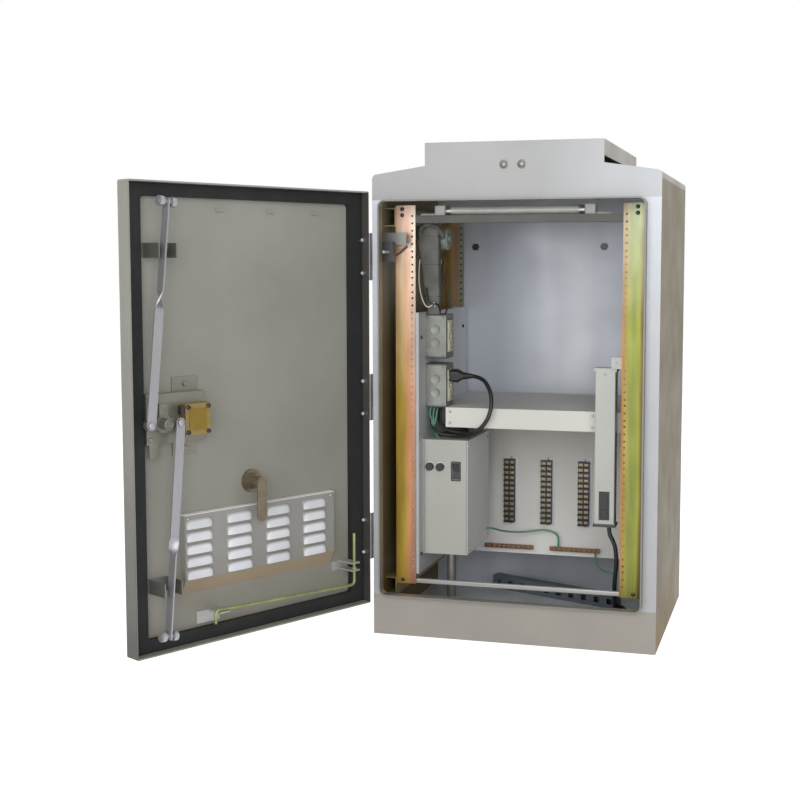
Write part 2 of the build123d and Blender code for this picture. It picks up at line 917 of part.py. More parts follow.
supply_lead = [
    (plug_end_x, outlet_y, plug_z),
    (plug_end_x + 24, outlet_y, plug_z),
    (plug_end_x + 50, outlet_y - 16, plug_z - 7),
    (plug_end_x + 70, outlet_y - 40, plug_z - 30),
    (plug_end_x + 76, outlet_y - 54, plug_z - 60),
    (plug_end_x + 68, outlet_y - 58, plug_z - 90),
    (plug_end_x + 48, outlet_y - 54, plug_z - 114),
    (plug_end_x + 20, outlet_y - 42, supply_top + 12),
    (plug_end_x - 8, outlet_y - 24, supply_top + 9),
    (plug_end_x - 34, outlet_y - 4, supply_top + 12),
    (plug_end_x - 42, outlet_y + 20, supply_top + 13),
    (plug_end_x - 42, outlet_y + 20, supply_top),
]
duct_cos = cos(radians(duct_turn))
duct_sin = sin(radians(duct_turn))
duct_cord_z = sheet + duct_wall + lead_radius + face_gap


def along_duct(distance):
    """A point on the cord's line inside the duct, measured from the duct's middle."""
    return (duct_x + distance * duct_cos, duct_y + distance * duct_sin, duct_cord_z)


strip_lead_x = strip_right - 12
strip_lead_y = strip_front_y + 16
strip_lead_z = strip_bottom - strip_cap
strip_lead = [
    (strip_lead_x, strip_lead_y, strip_lead_z),
    (strip_lead_x, strip_lead_y, strip_lead_z - 16),
    (strip_lead_x + 14, strip_lead_y, strip_lead_z - 44),
    (strip_lead_x + 16, strip_lead_y + 2, strip_lead_z - 80),
    (strip_lead_x + 10, strip_lead_y + 12, strip_lead_z - 134),
    (strip_lead_x + 7, strip_lead_y + 40, strip_lead_z - 186),
    (strip_lead_x + 5, strip_lead_y + 100, strip_lead_z - 224),
    (strip_lead_x + 4, strip_lead_y + 160, duct_cord_z + 1),
    along_duct(duct_length / 2 + 22),
    along_duct(-duct_length / 2 + 40),
]
with BuildPart() as power_leads:
    add_cord(supply_lead, lead_radius)
    add_cord(strip_lead, lead_radius)
save(power_leads, "power_leads")

# Power supply: a steel case open to the plate, with holes for its fuses and switch
supply_centre_z = (supply_bottom + supply_top) / 2
with BuildPart() as supply_case:
    with BuildSketch(front_plane(supply_back_y)):
        with Locations(((supply_left + supply_right) / 2, supply_centre_z)):
            Rectangle(supply_width, supply_height)
    extrude(amount=supply_depth)
    fillet(supply_case.edges().filter_by(Axis.Y).group_by(Axis.X)[-1], supply_edge)
    with BuildSketch(side_plane(supply_left)):
        with Locations(((supply_front_y + supply_back_y) / 2, supply_centre_z)):
            Rectangle(supply_depth - 2 * supply_wall, supply_height - 2 * supply_wall)
    extrude(amount=supply_width - supply_wall, mode=Mode.SUBTRACT)
    with BuildSketch(front_plane(supply_front_y)):
        with Locations((fuse_x[0], fuse_z), (fuse_x[1], fuse_z)):
            Circle(fuse_hole_radius)
        with Locations((rocker_x, rocker_z)):
            Rectangle(rocker_width + 2 * rocker_gap, rocker_height + 2 * rocker_gap)
    extrude(amount=-supply_wall, mode=Mode.SUBTRACT)
save(supply_case, "power_supply_case")

for side_name, centre_x in zip(("left", "right"), fuse_x):
    with BuildPart() as fuse_cap:
        with BuildSketch(front_plane(supply_front_y - face_gap)):
            with Locations((centre_x, fuse_z)):
                Circle(fuse_radius)
        extrude(amount=fuse_height)
        chamfer(fuse_cap.faces().sort_by(Axis.Y)[0].edges(), fuse_edge)
        with BuildSketch(front_plane(supply_front_y - face_gap - fuse_height)):
            with Locations((centre_x, fuse_z)):
                Rectangle(fuse_slot_length, fuse_slot_width)
        extrude(amount=-fuse_slot_width, mode=Mode.SUBTRACT)
        with BuildSketch(front_plane(supply_front_y - face_gap)):
            with Locations((centre_x, fuse_z)):
                Circle(fuse_hole_radius - running_gap)
        extrude(amount=-fuse_shaft)
    save(fuse_cap, f"fuse_cap_{side_name}")

# Rocker: its face is two shallow wedges that meet at the pivot line
with BuildPart() as rocker_switch:
    with BuildSketch(side_plane(rocker_x - rocker_width / 2)):
        with BuildLine():
            Polyline(
                (supply_front_y - rocker_stand, rocker_z + rocker_height / 2),
                (supply_front_y, rocker_z),
                (supply_front_y - rocker_stand, rocker_z - rocker_height / 2),
                (supply_front_y + rocker_depth, rocker_z - rocker_height / 3),
                (supply_front_y + rocker_depth, rocker_z + rocker_height / 3),
                close=True,
            )
        make_face()
    extrude(amount=rocker_width)
save(rocker_switch, "rocker_switch")

# Conduit nipple from the supply down through the floor, with its locknuts
with BuildPart() as conduit:
    with BuildSketch(Plane.XY):
        with Locations((conduit_x, conduit_y)):
            Circle(conduit_radius)
    extrude(amount=supply_bottom)
    for nut_bottom in (sheet, supply_bottom - locknut_height):
        with BuildSketch(Plane.XY.offset(nut_bottom)):
            with Locations((conduit_x, conduit_y)):
                RegularPolygon(locknut_radius, 8)
        extrude(amount=locknut_height)
    with BuildSketch(Plane.XY):
        with Locations((conduit_x, conduit_y)):
            Circle(conduit_radius - conduit_wall)
    extrude(amount=supply_bottom, mode=Mode.SUBTRACT)
save(conduit, "conduit")

# Shelf: one folded sheet with a one-unit front, fixed to the side plate and the rear rail
shelf_middle_z = shelf_bottom + shelf_height / 2
shelf_ear_x = rail_right_outer - rail_sheet - face_gap
with BuildPart() as equipment_shelf:
    with BuildSketch(Plane.XY.offset(shelf_top - shelf_sheet)):
        with Locations(((shelf_left + shelf_right) / 2, (shelf_front_y + rear_rail_y) / 2)):
            Rectangle(shelf_right - shelf_left, rear_rail_y - shelf_front_y)
        with Locations(((plate_face_x + shelf_left) / 2, (shelf_notch_y + rear_rail_y) / 2)):
            Rectangle(shelf_left - plate_face_x, rear_rail_y - shelf_notch_y)
    extrude(amount=shelf_sheet)
    with BuildSketch(front_plane(shelf_front_y + shelf_sheet)):
        with Locations(((shelf_left + shelf_right) / 2, shelf_middle_z)):
            Rectangle(shelf_right - shelf_left, shelf_height)
    extrude(amount=shelf_sheet)
    with BuildSketch(front_plane(rear_rail_y)):
        with Locations(((plate_face_x + shelf_ear_x) / 2, shelf_middle_z)):
            Rectangle(shelf_ear_x - plate_face_x, shelf_height)
    extrude(amount=shelf_sheet)
save(equipment_shelf, "equipment_shelf")

# Terminal board: hangs below the shelf, with a return at its foot and three backplates
board_top = shelf_top - shelf_sheet
board_front_y = board_y - board_sheet
with BuildPart() as terminal_board:
    with BuildSketch(front_plane(board_y)):
        with Locations(((plate_face_x + shelf_right) / 2, (board_bottom + board_top) / 2)):
            Rectangle(shelf_right - plate_face_x, board_top - board_bottom)
    extrude(amount=board_sheet)
    with BuildSketch(Plane.XY.offset(board_bottom)):
        with Locations(((plate_face_x + shelf_right) / 2, board_y + board_return / 2)):
            Rectangle(shelf_right - plate_face_x, board_return)
    extrude(amount=board_sheet)
    with BuildSketch(front_plane(board_front_y)):
        for centre_x in block_x:
            with Locations((centre_x + backplate_border / 2, block_bottom + block_height / 2)):
                Rectangle(block_width + backplate_border, block_height + 2 * backplate_border)
    extrude(amount=backplate_sheet)
save(terminal_board, "terminal_board")

# Terminal blocks: barrier strips with a rib between every two ways
block_face_y = board_front_y - backplate_sheet
way_pitch = (block_height - block_rib) / block_ways
way_y = block_face_y - block_depth + block_groove_depth / 2
first_way_z = block_bottom + (block_rib + way_pitch) / 2
way_centres = [(way_y, first_way_z + way * way_pitch) for way in range(block_ways)]
with BuildPart() as terminal_blocks:
    for centre_x in block_x:
        with BuildSketch(side_plane(centre_x - block_width / 2)):
            with Locations((block_face_y - block_depth / 2, block_bottom + block_height / 2)):
                Rectangle(block_depth, block_height)
            with Locations(*way_centres):
                Rectangle(block_groove_depth, way_pitch - block_rib, mode=Mode.SUBTRACT)
        extrude(amount=block_width)
save(terminal_blocks, "terminal_blocks")

bar_back_y = board_front_y - bus_bar_stand
bar_mid_y = bar_back_y - bus_bar_sheet / 2
bar_post_offset = bus_bar_length / 2 - bus_bar_size
with BuildPart() as bus_bars:
    for centre_x in bus_bar_x:
        with BuildSketch(front_plane(bar_back_y)):
            with Locations((centre_x, bus_bar_z)):
                Rectangle(bus_bar_length, bus_bar_size)
        extrude(amount=bus_bar_sheet)
        with BuildSketch(front_plane(board_front_y)):
            with Locations(
                (centre_x - bar_post_offset, bus_bar_z), (centre_x + bar_post_offset, bus_bar_z)
            ):
                Circle(bus_bar_post_radius)
        extrude(amount=bus_bar_stand)
save(bus_bars, "bus_bars")

# Earth wires: from the supply to the second bar, and from that bar down to the floor
bar_top_z = bus_bar_z + bus_bar_size / 2
bar_bottom_z = bus_bar_z - bus_bar_size / 2
drop_x = bus_bar_x[1] - bus_bar_length / 2 + 21
tail_x = bus_bar_x[1] + bus_bar_length / 2 - 10
supply_wire = [
    (supply_right, supply_back_y - 18, 186),
    (supply_right + wire_start, supply_back_y - 18, 186),
    (supply_right + 27, supply_back_y + 32, 170),
    (supply_right + 62, bar_mid_y - 14, 162),
    (drop_x - 32, bar_mid_y - 7, 171),
    (drop_x, bar_mid_y, bar_top_z + 32),
    (drop_x, bar_mid_y, bar_top_z),
]
floor_wire = [
    (tail_x, bar_mid_y, bar_bottom_z),
    (tail_x, bar_mid_y, bar_bottom_z - wire_start),
    (tail_x + 8, bar_mid_y - 10, bar_bottom_z - 30),
    (tail_x + 26, bar_mid_y - 20, bar_bottom_z - 39),
    (tail_x + 46, bar_mid_y - 24, bar_bottom_z - 38),
    (tail_x + 53, bar_mid_y - 18, bar_bottom_z - 60),
    (tail_x + 53, bar_mid_y - 18, sheet),
]
with BuildPart() as earth_wires:
    add_cord(supply_wire, wire_radius, wire_sides)
    add_cord(floor_wire, wire_radius, wire_sides)
save(earth_wires, "earth_wires")

# Power strip: an extruded housing with moulded end caps and an ear behind the rail
strip_x = (strip_left + strip_right) / 2
strip_y = (strip_front_y + strip_back_y) / 2
strip_top = strip_bottom + strip_height
ear_bottom = strip_top + strip_cap
ear_back_y = rail_back_y + strip_ear_sheet
ear_left = strip_right - strip_ear_lap
with BuildPart() as power_strip:
    with BuildSketch(Plane.XY.offset(strip_bottom)):
        with Locations((strip_x, strip_y)):
            RectangleRounded(strip_width, strip_depth, strip_edge)
    extrude(amount=strip_height)
    for cap_bottom in (strip_bottom - strip_cap, strip_top):
        with BuildSketch(Plane.XY.offset(cap_bottom)):
            with Locations((strip_x, strip_y)):
                Rectangle(strip_width + 2 * strip_cap_overhang, strip_depth)
        extrude(amount=strip_cap)
    with BuildSketch(front_plane(strip_front_y)):
        with Locations((strip_x, strip_window_bottom + strip_window_height / 2)):
            Rectangle(strip_window_width, strip_window_height)
    extrude(amount=-strip_window_depth, mode=Mode.SUBTRACT)
    with BuildSketch(front_plane(ear_back_y)):
        with Locations((ear_left + strip_ear_width / 2, ear_bottom + strip_ear_height / 2)):
            Rectangle(strip_ear_width, strip_ear_height)
    extrude(amount=strip_ear_sheet)
    with BuildSketch(Plane.XY.offset(ear_bottom)):
        with Locations((ear_left + strip_foot_width / 2, (rail_back_y + strip_y) / 2)):
            Rectangle(strip_foot_width, strip_y - rail_back_y)
    extrude(amount=strip_ear_sheet)
save(power_strip, "power_strip")

# Door switch on its folded bracket, with a sprung plunger
bracket_x = -side_inner_x + switch_bracket_reach / 2
bracket_z = switch_bracket_bottom + switch_bracket_height / 2
with BuildPart() as switch_bracket:
    with BuildSketch(front_plane(switch_y + switch_bracket_sheet)):
        with Locations((bracket_x, bracket_z)):
            Rectangle(switch_bracket_reach, switch_bracket_height)
    extrude(amount=switch_bracket_sheet)
    with BuildSketch(side_plane(-side_inner_x)):
        with Locations((switch_y + switch_bracket_fold / 2, bracket_z)):
            Rectangle(switch_bracket_fold, switch_bracket_height)
    extrude(amount=switch_bracket_sheet)
save(switch_bracket, "door_switch_bracket")

switch_x = -side_inner_x + switch_offset
switch_z = switch_bracket_bottom + switch_overlap - switch_height / 2
plunger_x = -side_inner_x + plunger_offset
switch_face_y = switch_y - switch_depth
with BuildPart() as door_switch:
    with BuildSketch(front_plane(switch_y)):
        with Locations((switch_x, switch_z)):
            Rectangle(switch_width, switch_height)
    extrude(amount=switch_depth)
    with BuildSketch(front_plane(switch_face_y)):
        with Locations((plunger_x, switch_z)):
            Circle(plunger_radius + running_gap)
    extrude(amount=-2 * plunger_seat - plunger_travel, mode=Mode.SUBTRACT)
save(door_switch, "door_switch")

with BuildPart() as switch_plunger:
    with BuildSketch(front_plane(switch_face_y + plunger_seat)):
        with Locations((plunger_x, switch_z)):
            Circle(plunger_radius)
    extrude(amount=plunger_length)
    chamfer(switch_plunger.faces().sort_by(Axis.Y)[0].edges(), plunger_radius / 2)
save(switch_plunger, "switch_plunger")

# Temperature switch: a round housing on an arm from the upper channel
arm_top = sensor_arm_z + sensor_arm_sheet
arm_drop_x = sensor_x - sensor_arm_sheet
with BuildPart() as temperature_switch:
    with BuildSketch(side_plane(sensor_x)):
        with Locations((sensor_y, sensor_z)):
            Circle(sensor_radius)
    extrude(amount=sensor_depth)
    chamfer(temperature_switch.faces().sort_by(Axis.X)[-1].edges(), sensor_edge)
    with BuildSketch(front_plane(sensor_y + sensor_arm_width / 2)):
        with BuildLine():
            Polyline(
                (rail_left_outer, sensor_arm_z),
                (rail_left_outer, arm_top),
                (sensor_x, arm_top),
                (sensor_x, sensor_z),
                (arm_drop_x, sensor_z),
                (arm_drop_x, sensor_arm_z),
                close=True,
            )
        make_face()
    extrude(amount=sensor_arm_width)
save(temperature_switch, "temperature_switch")

# Lead sleeve: a flat boot that hangs from its bracket and ends on the upper outlet box
sleeve_foot_z = outlet_upper_bottom + outlet_height
sleeve_hook_x = sleeve_top_x + sleeve_top_width / 2
with BuildPart() as lead_sleeve:
    with BuildSketch(Plane.XY.offset(sleeve_foot_z)):
        with Locations((sleeve_bottom_x, sleeve_y)):
            RectangleRounded(sleeve_bottom_width, sleeve_foot_depth, sleeve_corner)
    with BuildSketch(Plane.XY.offset(sleeve_top)):
        with Locations((sleeve_top_x, sleeve_y)):
            RectangleRounded(sleeve_top_width, sleeve_depth, sleeve_corner)
    loft(ruled=True)
    with BuildSketch(Plane.XY.offset(sleeve_top)):
        with Locations(((rail_left_outer + sleeve_hook_x) / 2, sleeve_y)):
            Rectangle(sleeve_hook_x - rail_left_outer, sleeve_bracket_depth)
    extrude(amount=support_sheet)
    with BuildSketch(side_plane(rail_left_outer)):
        with Locations((sleeve_y, sleeve_top + sleeve_bracket_height / 2)):
            Rectangle(sleeve_bracket_depth, sleeve_bracket_height)
    extrude(amount=support_sheet)
save(lead_sleeve, "lead_sleeve")

# Wiring duct on the floor, with slotted walls
duct_plane = Plane(origin=(duct_x, duct_y, sheet), x_dir=(duct_cos, duct_sin, 0), z_dir=(0, 0, 1))
with BuildPart(duct_plane) as cable_duct:
    Box(duct_length, duct_width, duct_height, align=(Align.CENTER, Align.CENTER, Align.MIN))
    with Locations((0, 0, duct_wall)):
        Box(
            duct_length,
            duct_width - 2 * duct_wall,
            duct_height - 2 * duct_wall,
            align=(Align.CENTER, Align.CENTER, Align.MIN),
            mode=Mode.SUBTRACT,
        )
    with Locations((0, 0, duct_height / 2)):
        with GridLocations(duct_length / duct_slots, 1, duct_slots, 1):
            Box(
                duct_length / duct_slots * duct_slot_share,
                duct_width,
                duct_height * duct_slot_share,
                mode=Mode.SUBTRACT,
            )
save(cable_duct, "cable_duct")

# Louvres: pressed hoods over slots, open along their lower edges
louvre_centres = [
    (louvre_first_u + column * louvre_column_pitch, louvre_first_v + row * louvre_row_pitch)
    for column in range(louvre_columns)
    for row in range(louvre_rows)
]


def press_louvres(surface_w, direction, thickness):
    """Cut the slots and add their hoods; direction is -1 inwards and 1 outwards."""
    with BuildSketch(door_face(surface_w)) as slots:
        with Locations(*louvre_centres):
            Rectangle(louvre_width - 2 * louvre_end, louvre_height)
    extrude(slots.sketch, amount=-direction * thickness, mode=Mode.SUBTRACT)
    lift = -surface_w - direction * louvre_stand
    under = lift + direction * thickness
    for centre_u, centre_v in louvre_centres:
        left = centre_u + louvre_width / 2
        foot = centre_v - louvre_height / 2
        head = centre_v + louvre_height / 2 + thickness
        with BuildSketch(door_upright(left)) as hood:
            with BuildLine():
                Polyline(
                    (head, -surface_w),
                    (centre_v, lift),
                    (foot, lift),
                    (foot, under),
                    (centre_v, under),
                    (head - 2 * thickness, -surface_w),
                    close=True,
                )
            make_face()
        extrude(hood.sketch, amount=louvre_width)
        for end_u in (left, left - louvre_width + louvre_end):
            with BuildSketch(door_upright(end_u)) as cheek:
                with BuildLine():
                    Polyline(
                        (head, -surface_w),
                        (centre_v, lift),
                        (foot, lift),
                        (foot, -surface_w),
                        close=True,
                    )
                make_face()
            extrude(cheek.sketch, amount=louvre_end)


# Door pan: one sheet folded into a tray, louvred low down, with its fixing holes
door_u = door_width / 2
door_v = (door_bottom + door_top) / 2
door_inner_width = door_width - 2 * door_sheet
door_inner_height = door_top - door_bottom - 2 * door_sheet
hinge_bolt_heights = [
    centre_v + side * hinge_bolt_spacing / 2 for centre_v in hinge_centres for side in (-1, 1)
]
with BuildPart() as door_pan:
    with BuildSketch(door_face(0)):
        with Locations((door_u, door_v)):
            RectangleRounded(door_width, door_top - door_bottom, door_corner_radius)
    extrude(amount=door_depth)
    with BuildSketch(door_face(0)):
        with Locations((door_u, door_v)):
            Rectangle(door_inner_width, door_inner_height)
    extrude(amount=door_floor_w, mode=Mode.SUBTRACT)
    press_louvres(door_depth, 1, door_sheet)
    with BuildSketch(door_face(door_floor_w)):
        with Locations((cam_u, cam_v)):
            Circle(spindle_radius + running_gap)
        with Locations((cam_lock_u, cam_lock_v)):
            Circle(cam_lock_radius + running_gap)
    extrude(amount=door_sheet, mode=Mode.SUBTRACT)
    with BuildSketch(door_upright(door_sheet)):
        with Locations(*[(height, -hinge_bolt_w) for height in hinge_bolt_heights]):
            Circle(hinge_bolt_radius + hinge_bolt_clearance)
    extrude(amount=door_sheet, mode=Mode.SUBTRACT)
save(door_pan, "door_pan")

with BuildPart() as door_gasket:
    with BuildSketch(door_face(gasket_face_w)):
        with Locations((door_u, door_v)):
            Rectangle(door_inner_width, door_inner_height)
            RectangleRounded(
                door_inner_width - 2 * gasket_side_width,
                door_inner_height - 2 * gasket_end_width,
                gasket_corner,
                mode=Mode.SUBTRACT,
            )
    extrude(amount=gasket_height)
save(door_gasket, "door_gasket")

# Hinges: the frame leaf carries the pin, and the door leaf turns on it
knuckle_gap = hinge_knuckle + hinge_axial_gap
with BuildPart() as hinge_frame_leaves:
    for centre_v in hinge_centres:
        foot = centre_v - hinge_height / 2
        with BuildSketch(Plane.XY.offset(foot)):
            with Locations((hinge_axis_x, hinge_axis_y)):
                Circle(hinge_radius)
            with Locations((door_left_x - hinge_leaf / 2, hinge_axis_y + hinge_leaf_width / 2)):
                Rectangle(hinge_leaf, hinge_leaf_width)
        extrude(amount=hinge_height)
        with BuildSketch(Plane.XY.offset(foot + hinge_knuckle)):
            with Locations((hinge_axis_x, hinge_axis_y)):
                Circle(hinge_radius + hinge_axial_gap + hinge_leaf)
                Circle(hinge_pin_radius, mode=Mode.SUBTRACT)
        extrude(amount=hinge_height - 2 * hinge_knuckle, mode=Mode.SUBTRACT)
save(hinge_frame_leaves, "hinge_frame_leaves")

with BuildPart() as hinge_door_leaves:
    for centre_v in hinge_centres:
        foot = centre_v - hinge_height / 2
        with BuildSketch(door_section(foot + knuckle_gap)):
            with Locations((-hinge_radius, -hinge_radius)):
                Circle(hinge_radius)
            with Locations((-hinge_leaf / 2, -hinge_radius * 1.5)):
                Rectangle(hinge_leaf, hinge_radius)
            with Locations((-hinge_radius, -hinge_radius)):
                Circle(hinge_pin_radius + hinge_fit, mode=Mode.SUBTRACT)
        extrude(amount=hinge_height - 2 * knuckle_gap)
        with BuildSketch(door_section(foot)):
            with Locations((-hinge_leaf / 2, -2 * hinge_radius - hinge_leaf_width / 2)):
                Rectangle(hinge_leaf, hinge_leaf_width)
        extrude(amount=hinge_height)
    with BuildSketch(door_upright(0)):
        with Locations(*[(height, -hinge_bolt_w) for height in hinge_bolt_heights]):
            Circle(hinge_bolt_radius + hinge_bolt_clearance)
    extrude(amount=hinge_leaf, mode=Mode.SUBTRACT)
save(hinge_door_leaves, "hinge_door_leaves")

# Hinge bolts: flush studs with acorn nuts inside the door's flange
with BuildPart() as hinge_bolts:
    with BuildSketch(door_upright(door_sheet)):
        with Locations(*[(height, -hinge_bolt_w) for height in hinge_bolt_heights]):
            Circle(hinge_bolt_radius)
    extrude(amount=door_sheet + hinge_leaf)
    with BuildSketch(door_upright(door_sheet)):
        with Locations(*[(height, -hinge_bolt_w) for height in hinge_bolt_heights]):
            RegularPolygon(acorn_radius, 6)
    extrude(amount=-acorn_height)
    with BuildSketch(door_upright(door_sheet + acorn_height)):
        with Locations(*[(height, -hinge_bolt_w) for height in hinge_bolt_heights]):
            Circle(acorn_dome_radius)
    extrude(amount=-acorn_dome, taper=acorn_taper)
save(hinge_bolts, "hinge_bolts")

# Louvred cover inside the door: a shallow box with a sloping foot
with BuildPart() as vent_cover:
    with BuildSketch(door_upright(vent_left)):
        with BuildLine():
            Polyline(
                (vent_bottom, -door_floor_w),
                (vent_slope_top, -vent_face_w),
                (vent_top, -vent_face_w),
                (vent_top, -door_floor_w),
                close=True,
            )
        make_face()
    extrude(amount=vent_left - vent_right)
    with BuildSketch(door_upright(vent_left - vent_sheet)):
        with BuildLine():
            Polyline(
                (vent_bottom + 2 * vent_sheet, -door_floor_w),
                (vent_slope_top + vent_sheet, -vent_face_w - vent_sheet),
                (vent_top - vent_sheet, -vent_face_w - vent_sheet),
                (vent_top - vent_sheet, -door_floor_w),
                close=True,
            )
        make_face()
    extrude(amount=vent_left - vent_right - 2 * vent_sheet, mode=Mode.SUBTRACT)
    press_louvres(vent_face_w, -1, vent_sheet)
save(vent_cover, "vent_cover")

# Rod guides: deep open brackets that keep the two latch rods in line
guide_depth = door_floor_w - guide_tip_w
with BuildPart() as rod_guides:
    for centre_v in guide_centres:
        with BuildSketch(door_section(centre_v - guide_height / 2)):
            with Locations(((guide_left + guide_right + guide_foot) / 2, -door_floor_w + guide_sheet / 2)):
                Rectangle(guide_left - guide_right + guide_foot, guide_sheet)
            for leg_u in (guide_left - guide_sheet / 2, guide_right + guide_sheet / 2):
                with Locations((leg_u, -guide_tip_w - guide_depth / 2)):
                    Rectangle(guide_sheet, guide_depth)
        extrude(amount=guide_height)
save(rod_guides, "rod_guides")

# Latch case: a hat bracket over the spindle, with two feet and a tongue
case_back_w = case_face_w + case_sheet
foot_w = door_floor_w - case_sheet
with BuildPart() as latch_case:
    with BuildSketch(door_upright(case_left)):
        with Locations(((case_bottom + case_top) / 2, -(case_face_w + door_floor_w) / 2)):
            Rectangle(case_top - case_bottom, door_floor_w - case_face_w)
        with Locations(((case_bottom + case_top) / 2, -(case_back_w + door_floor_w) / 2)):
            Rectangle(
                case_top - case_bottom - 2 * case_sheet,
                door_floor_w - case_back_w,
                mode=Mode.SUBTRACT,
            )
    extrude(amount=case_left - case_right)
    with BuildSketch(door_face(foot_w)):
        with Locations(((upper_foot_left + upper_foot_right) / 2, case_top + case_foot / 2)):
            Rectangle(upper_foot_left - upper_foot_right, case_foot)
        with Locations(((lower_foot_left + lower_foot_right) / 2, case_bottom - case_foot / 2)):
            Rectangle(lower_foot_left - lower_foot_right, case_foot)
    extrude(amount=case_sheet)
    with BuildSketch(door_face(case_face_w)):
        with Locations(((case_tongue_left + case_tongue_right) / 2, case_bottom - case_tongue / 2)):
            Rectangle(case_tongue_left - case_tongue_right, case_tongue)
    extrude(amount=case_sheet)
    with BuildSketch(door_face(case_face_w)):
        with Locations((cam_u, cam_v)):
            Circle(spindle_radius + running_gap)
    extrude(amount=case_sheet, mode=Mode.SUBTRACT)
save(latch_case, "latch_case")

# Lock: a brass box on the latch case, with the channel its bolt slides in
lock_height = case_face_w - lock_face_w
bolt_room = lock_bolt_length + lock_bolt_room
with BuildPart() as lock_box:
    with BuildSketch(door_face(lock_face_w)):
        with Locations(((lock_left + lock_right) / 2, (lock_bottom + lock_top) / 2)):
            Rectangle(lock_left - lock_right, lock_top - lock_bottom)
    extrude(amount=lock_height)
    with BuildSketch(door_upright(lock_left)):
        with Locations((lock_bolt_v, -lock_bolt_w)):
            Rectangle(lock_bolt_width + 2 * lock_bolt_gap, lock_bolt_sheet + 2 * lock_bolt_gap)
    extrude(amount=bolt_room, mode=Mode.SUBTRACT)
save(lock_box, "lock_box")

with BuildPart() as lock_bolt:
    with BuildSketch(door_upright(lock_bolt_tip_u)):
        with Locations((lock_bolt_v, -lock_bolt_w)):
            Rectangle(lock_bolt_width, lock_bolt_sheet)
    extrude(amount=lock_bolt_length)
save(lock_bolt, "lock_bolt")

# Latch cam: two rod pins and a lobe on a hub, with the spindle that runs through the door
rod_face_w = rod_w - rod_sheet / 2
rod_back_w = rod_w + rod_sheet / 2
pin_points = [(cam_u + cam_pin_offset, cam_v), (cam_u - cam_pin_offset, cam_v)]
pin_tip_w = rod_face_w - face_gap - rod_washer_sheet
spindle_end_w = door_depth + face_gap
with BuildPart() as latch_cam:
    with BuildSketch(door_face(cam_outer_w)):
        with Locations((cam_u, cam_v)):
            SlotCenterToCenter(2 * cam_pin_offset, 2 * cam_end_radius)
            Circle(cam_hub_radius)
        with Locations((cam_u, cam_v + cam_lobe_length / 2)):
            Rectangle(cam_lobe_width, cam_lobe_length - cam_sheet)
    extrude(amount=cam_sheet)
    with BuildSketch(door_face(hub_face_w)):
        with Locations((cam_u, cam_v)):
            Circle(hub_radius)
    extrude(amount=case_face_w - face_gap - hub_face_w)
    with BuildSketch(door_face(hub_face_w)):
        with Locations((cam_u, cam_v)):
            Circle(spindle_radius)
    extrude(amount=spindle_end_w - hub_face_w)
    with BuildSketch(door_face(pin_tip_w)):
        with Locations(*pin_points):
            Circle(rod_pin_radius)
    extrude(amount=cam_outer_w - pin_tip_w)
    with BuildSketch(door_face(pin_tip_w)):
        with Locations(*pin_points):
            Circle(rod_collar_radius)
    extrude(amount=rod_washer_sheet)
    with BuildSketch(door_face(rod_back_w + face_gap)):
        with Locations(*pin_points):
            Circle(rod_collar_radius)
    extrude(amount=cam_outer_w - rod_back_w - face_gap)
save(latch_cam, "latch_cam")

with BuildPart() as latch_handle:
    with BuildSketch(door_face(spindle_end_w)):
        with Locations((cam_u, cam_v)):
            Circle(handle_boss_radius)
    extrude(amount=handle_boss_height)
    with BuildSketch(door_face(spindle_end_w + handle_boss_height - handle_sheet)):
        with Locations((cam_u - handle_length / 2, cam_v)):
            SlotCenterToCenter(handle_length, handle_width)
    extrude(amount=handle_sheet)
save(latch_handle, "latch_handle")


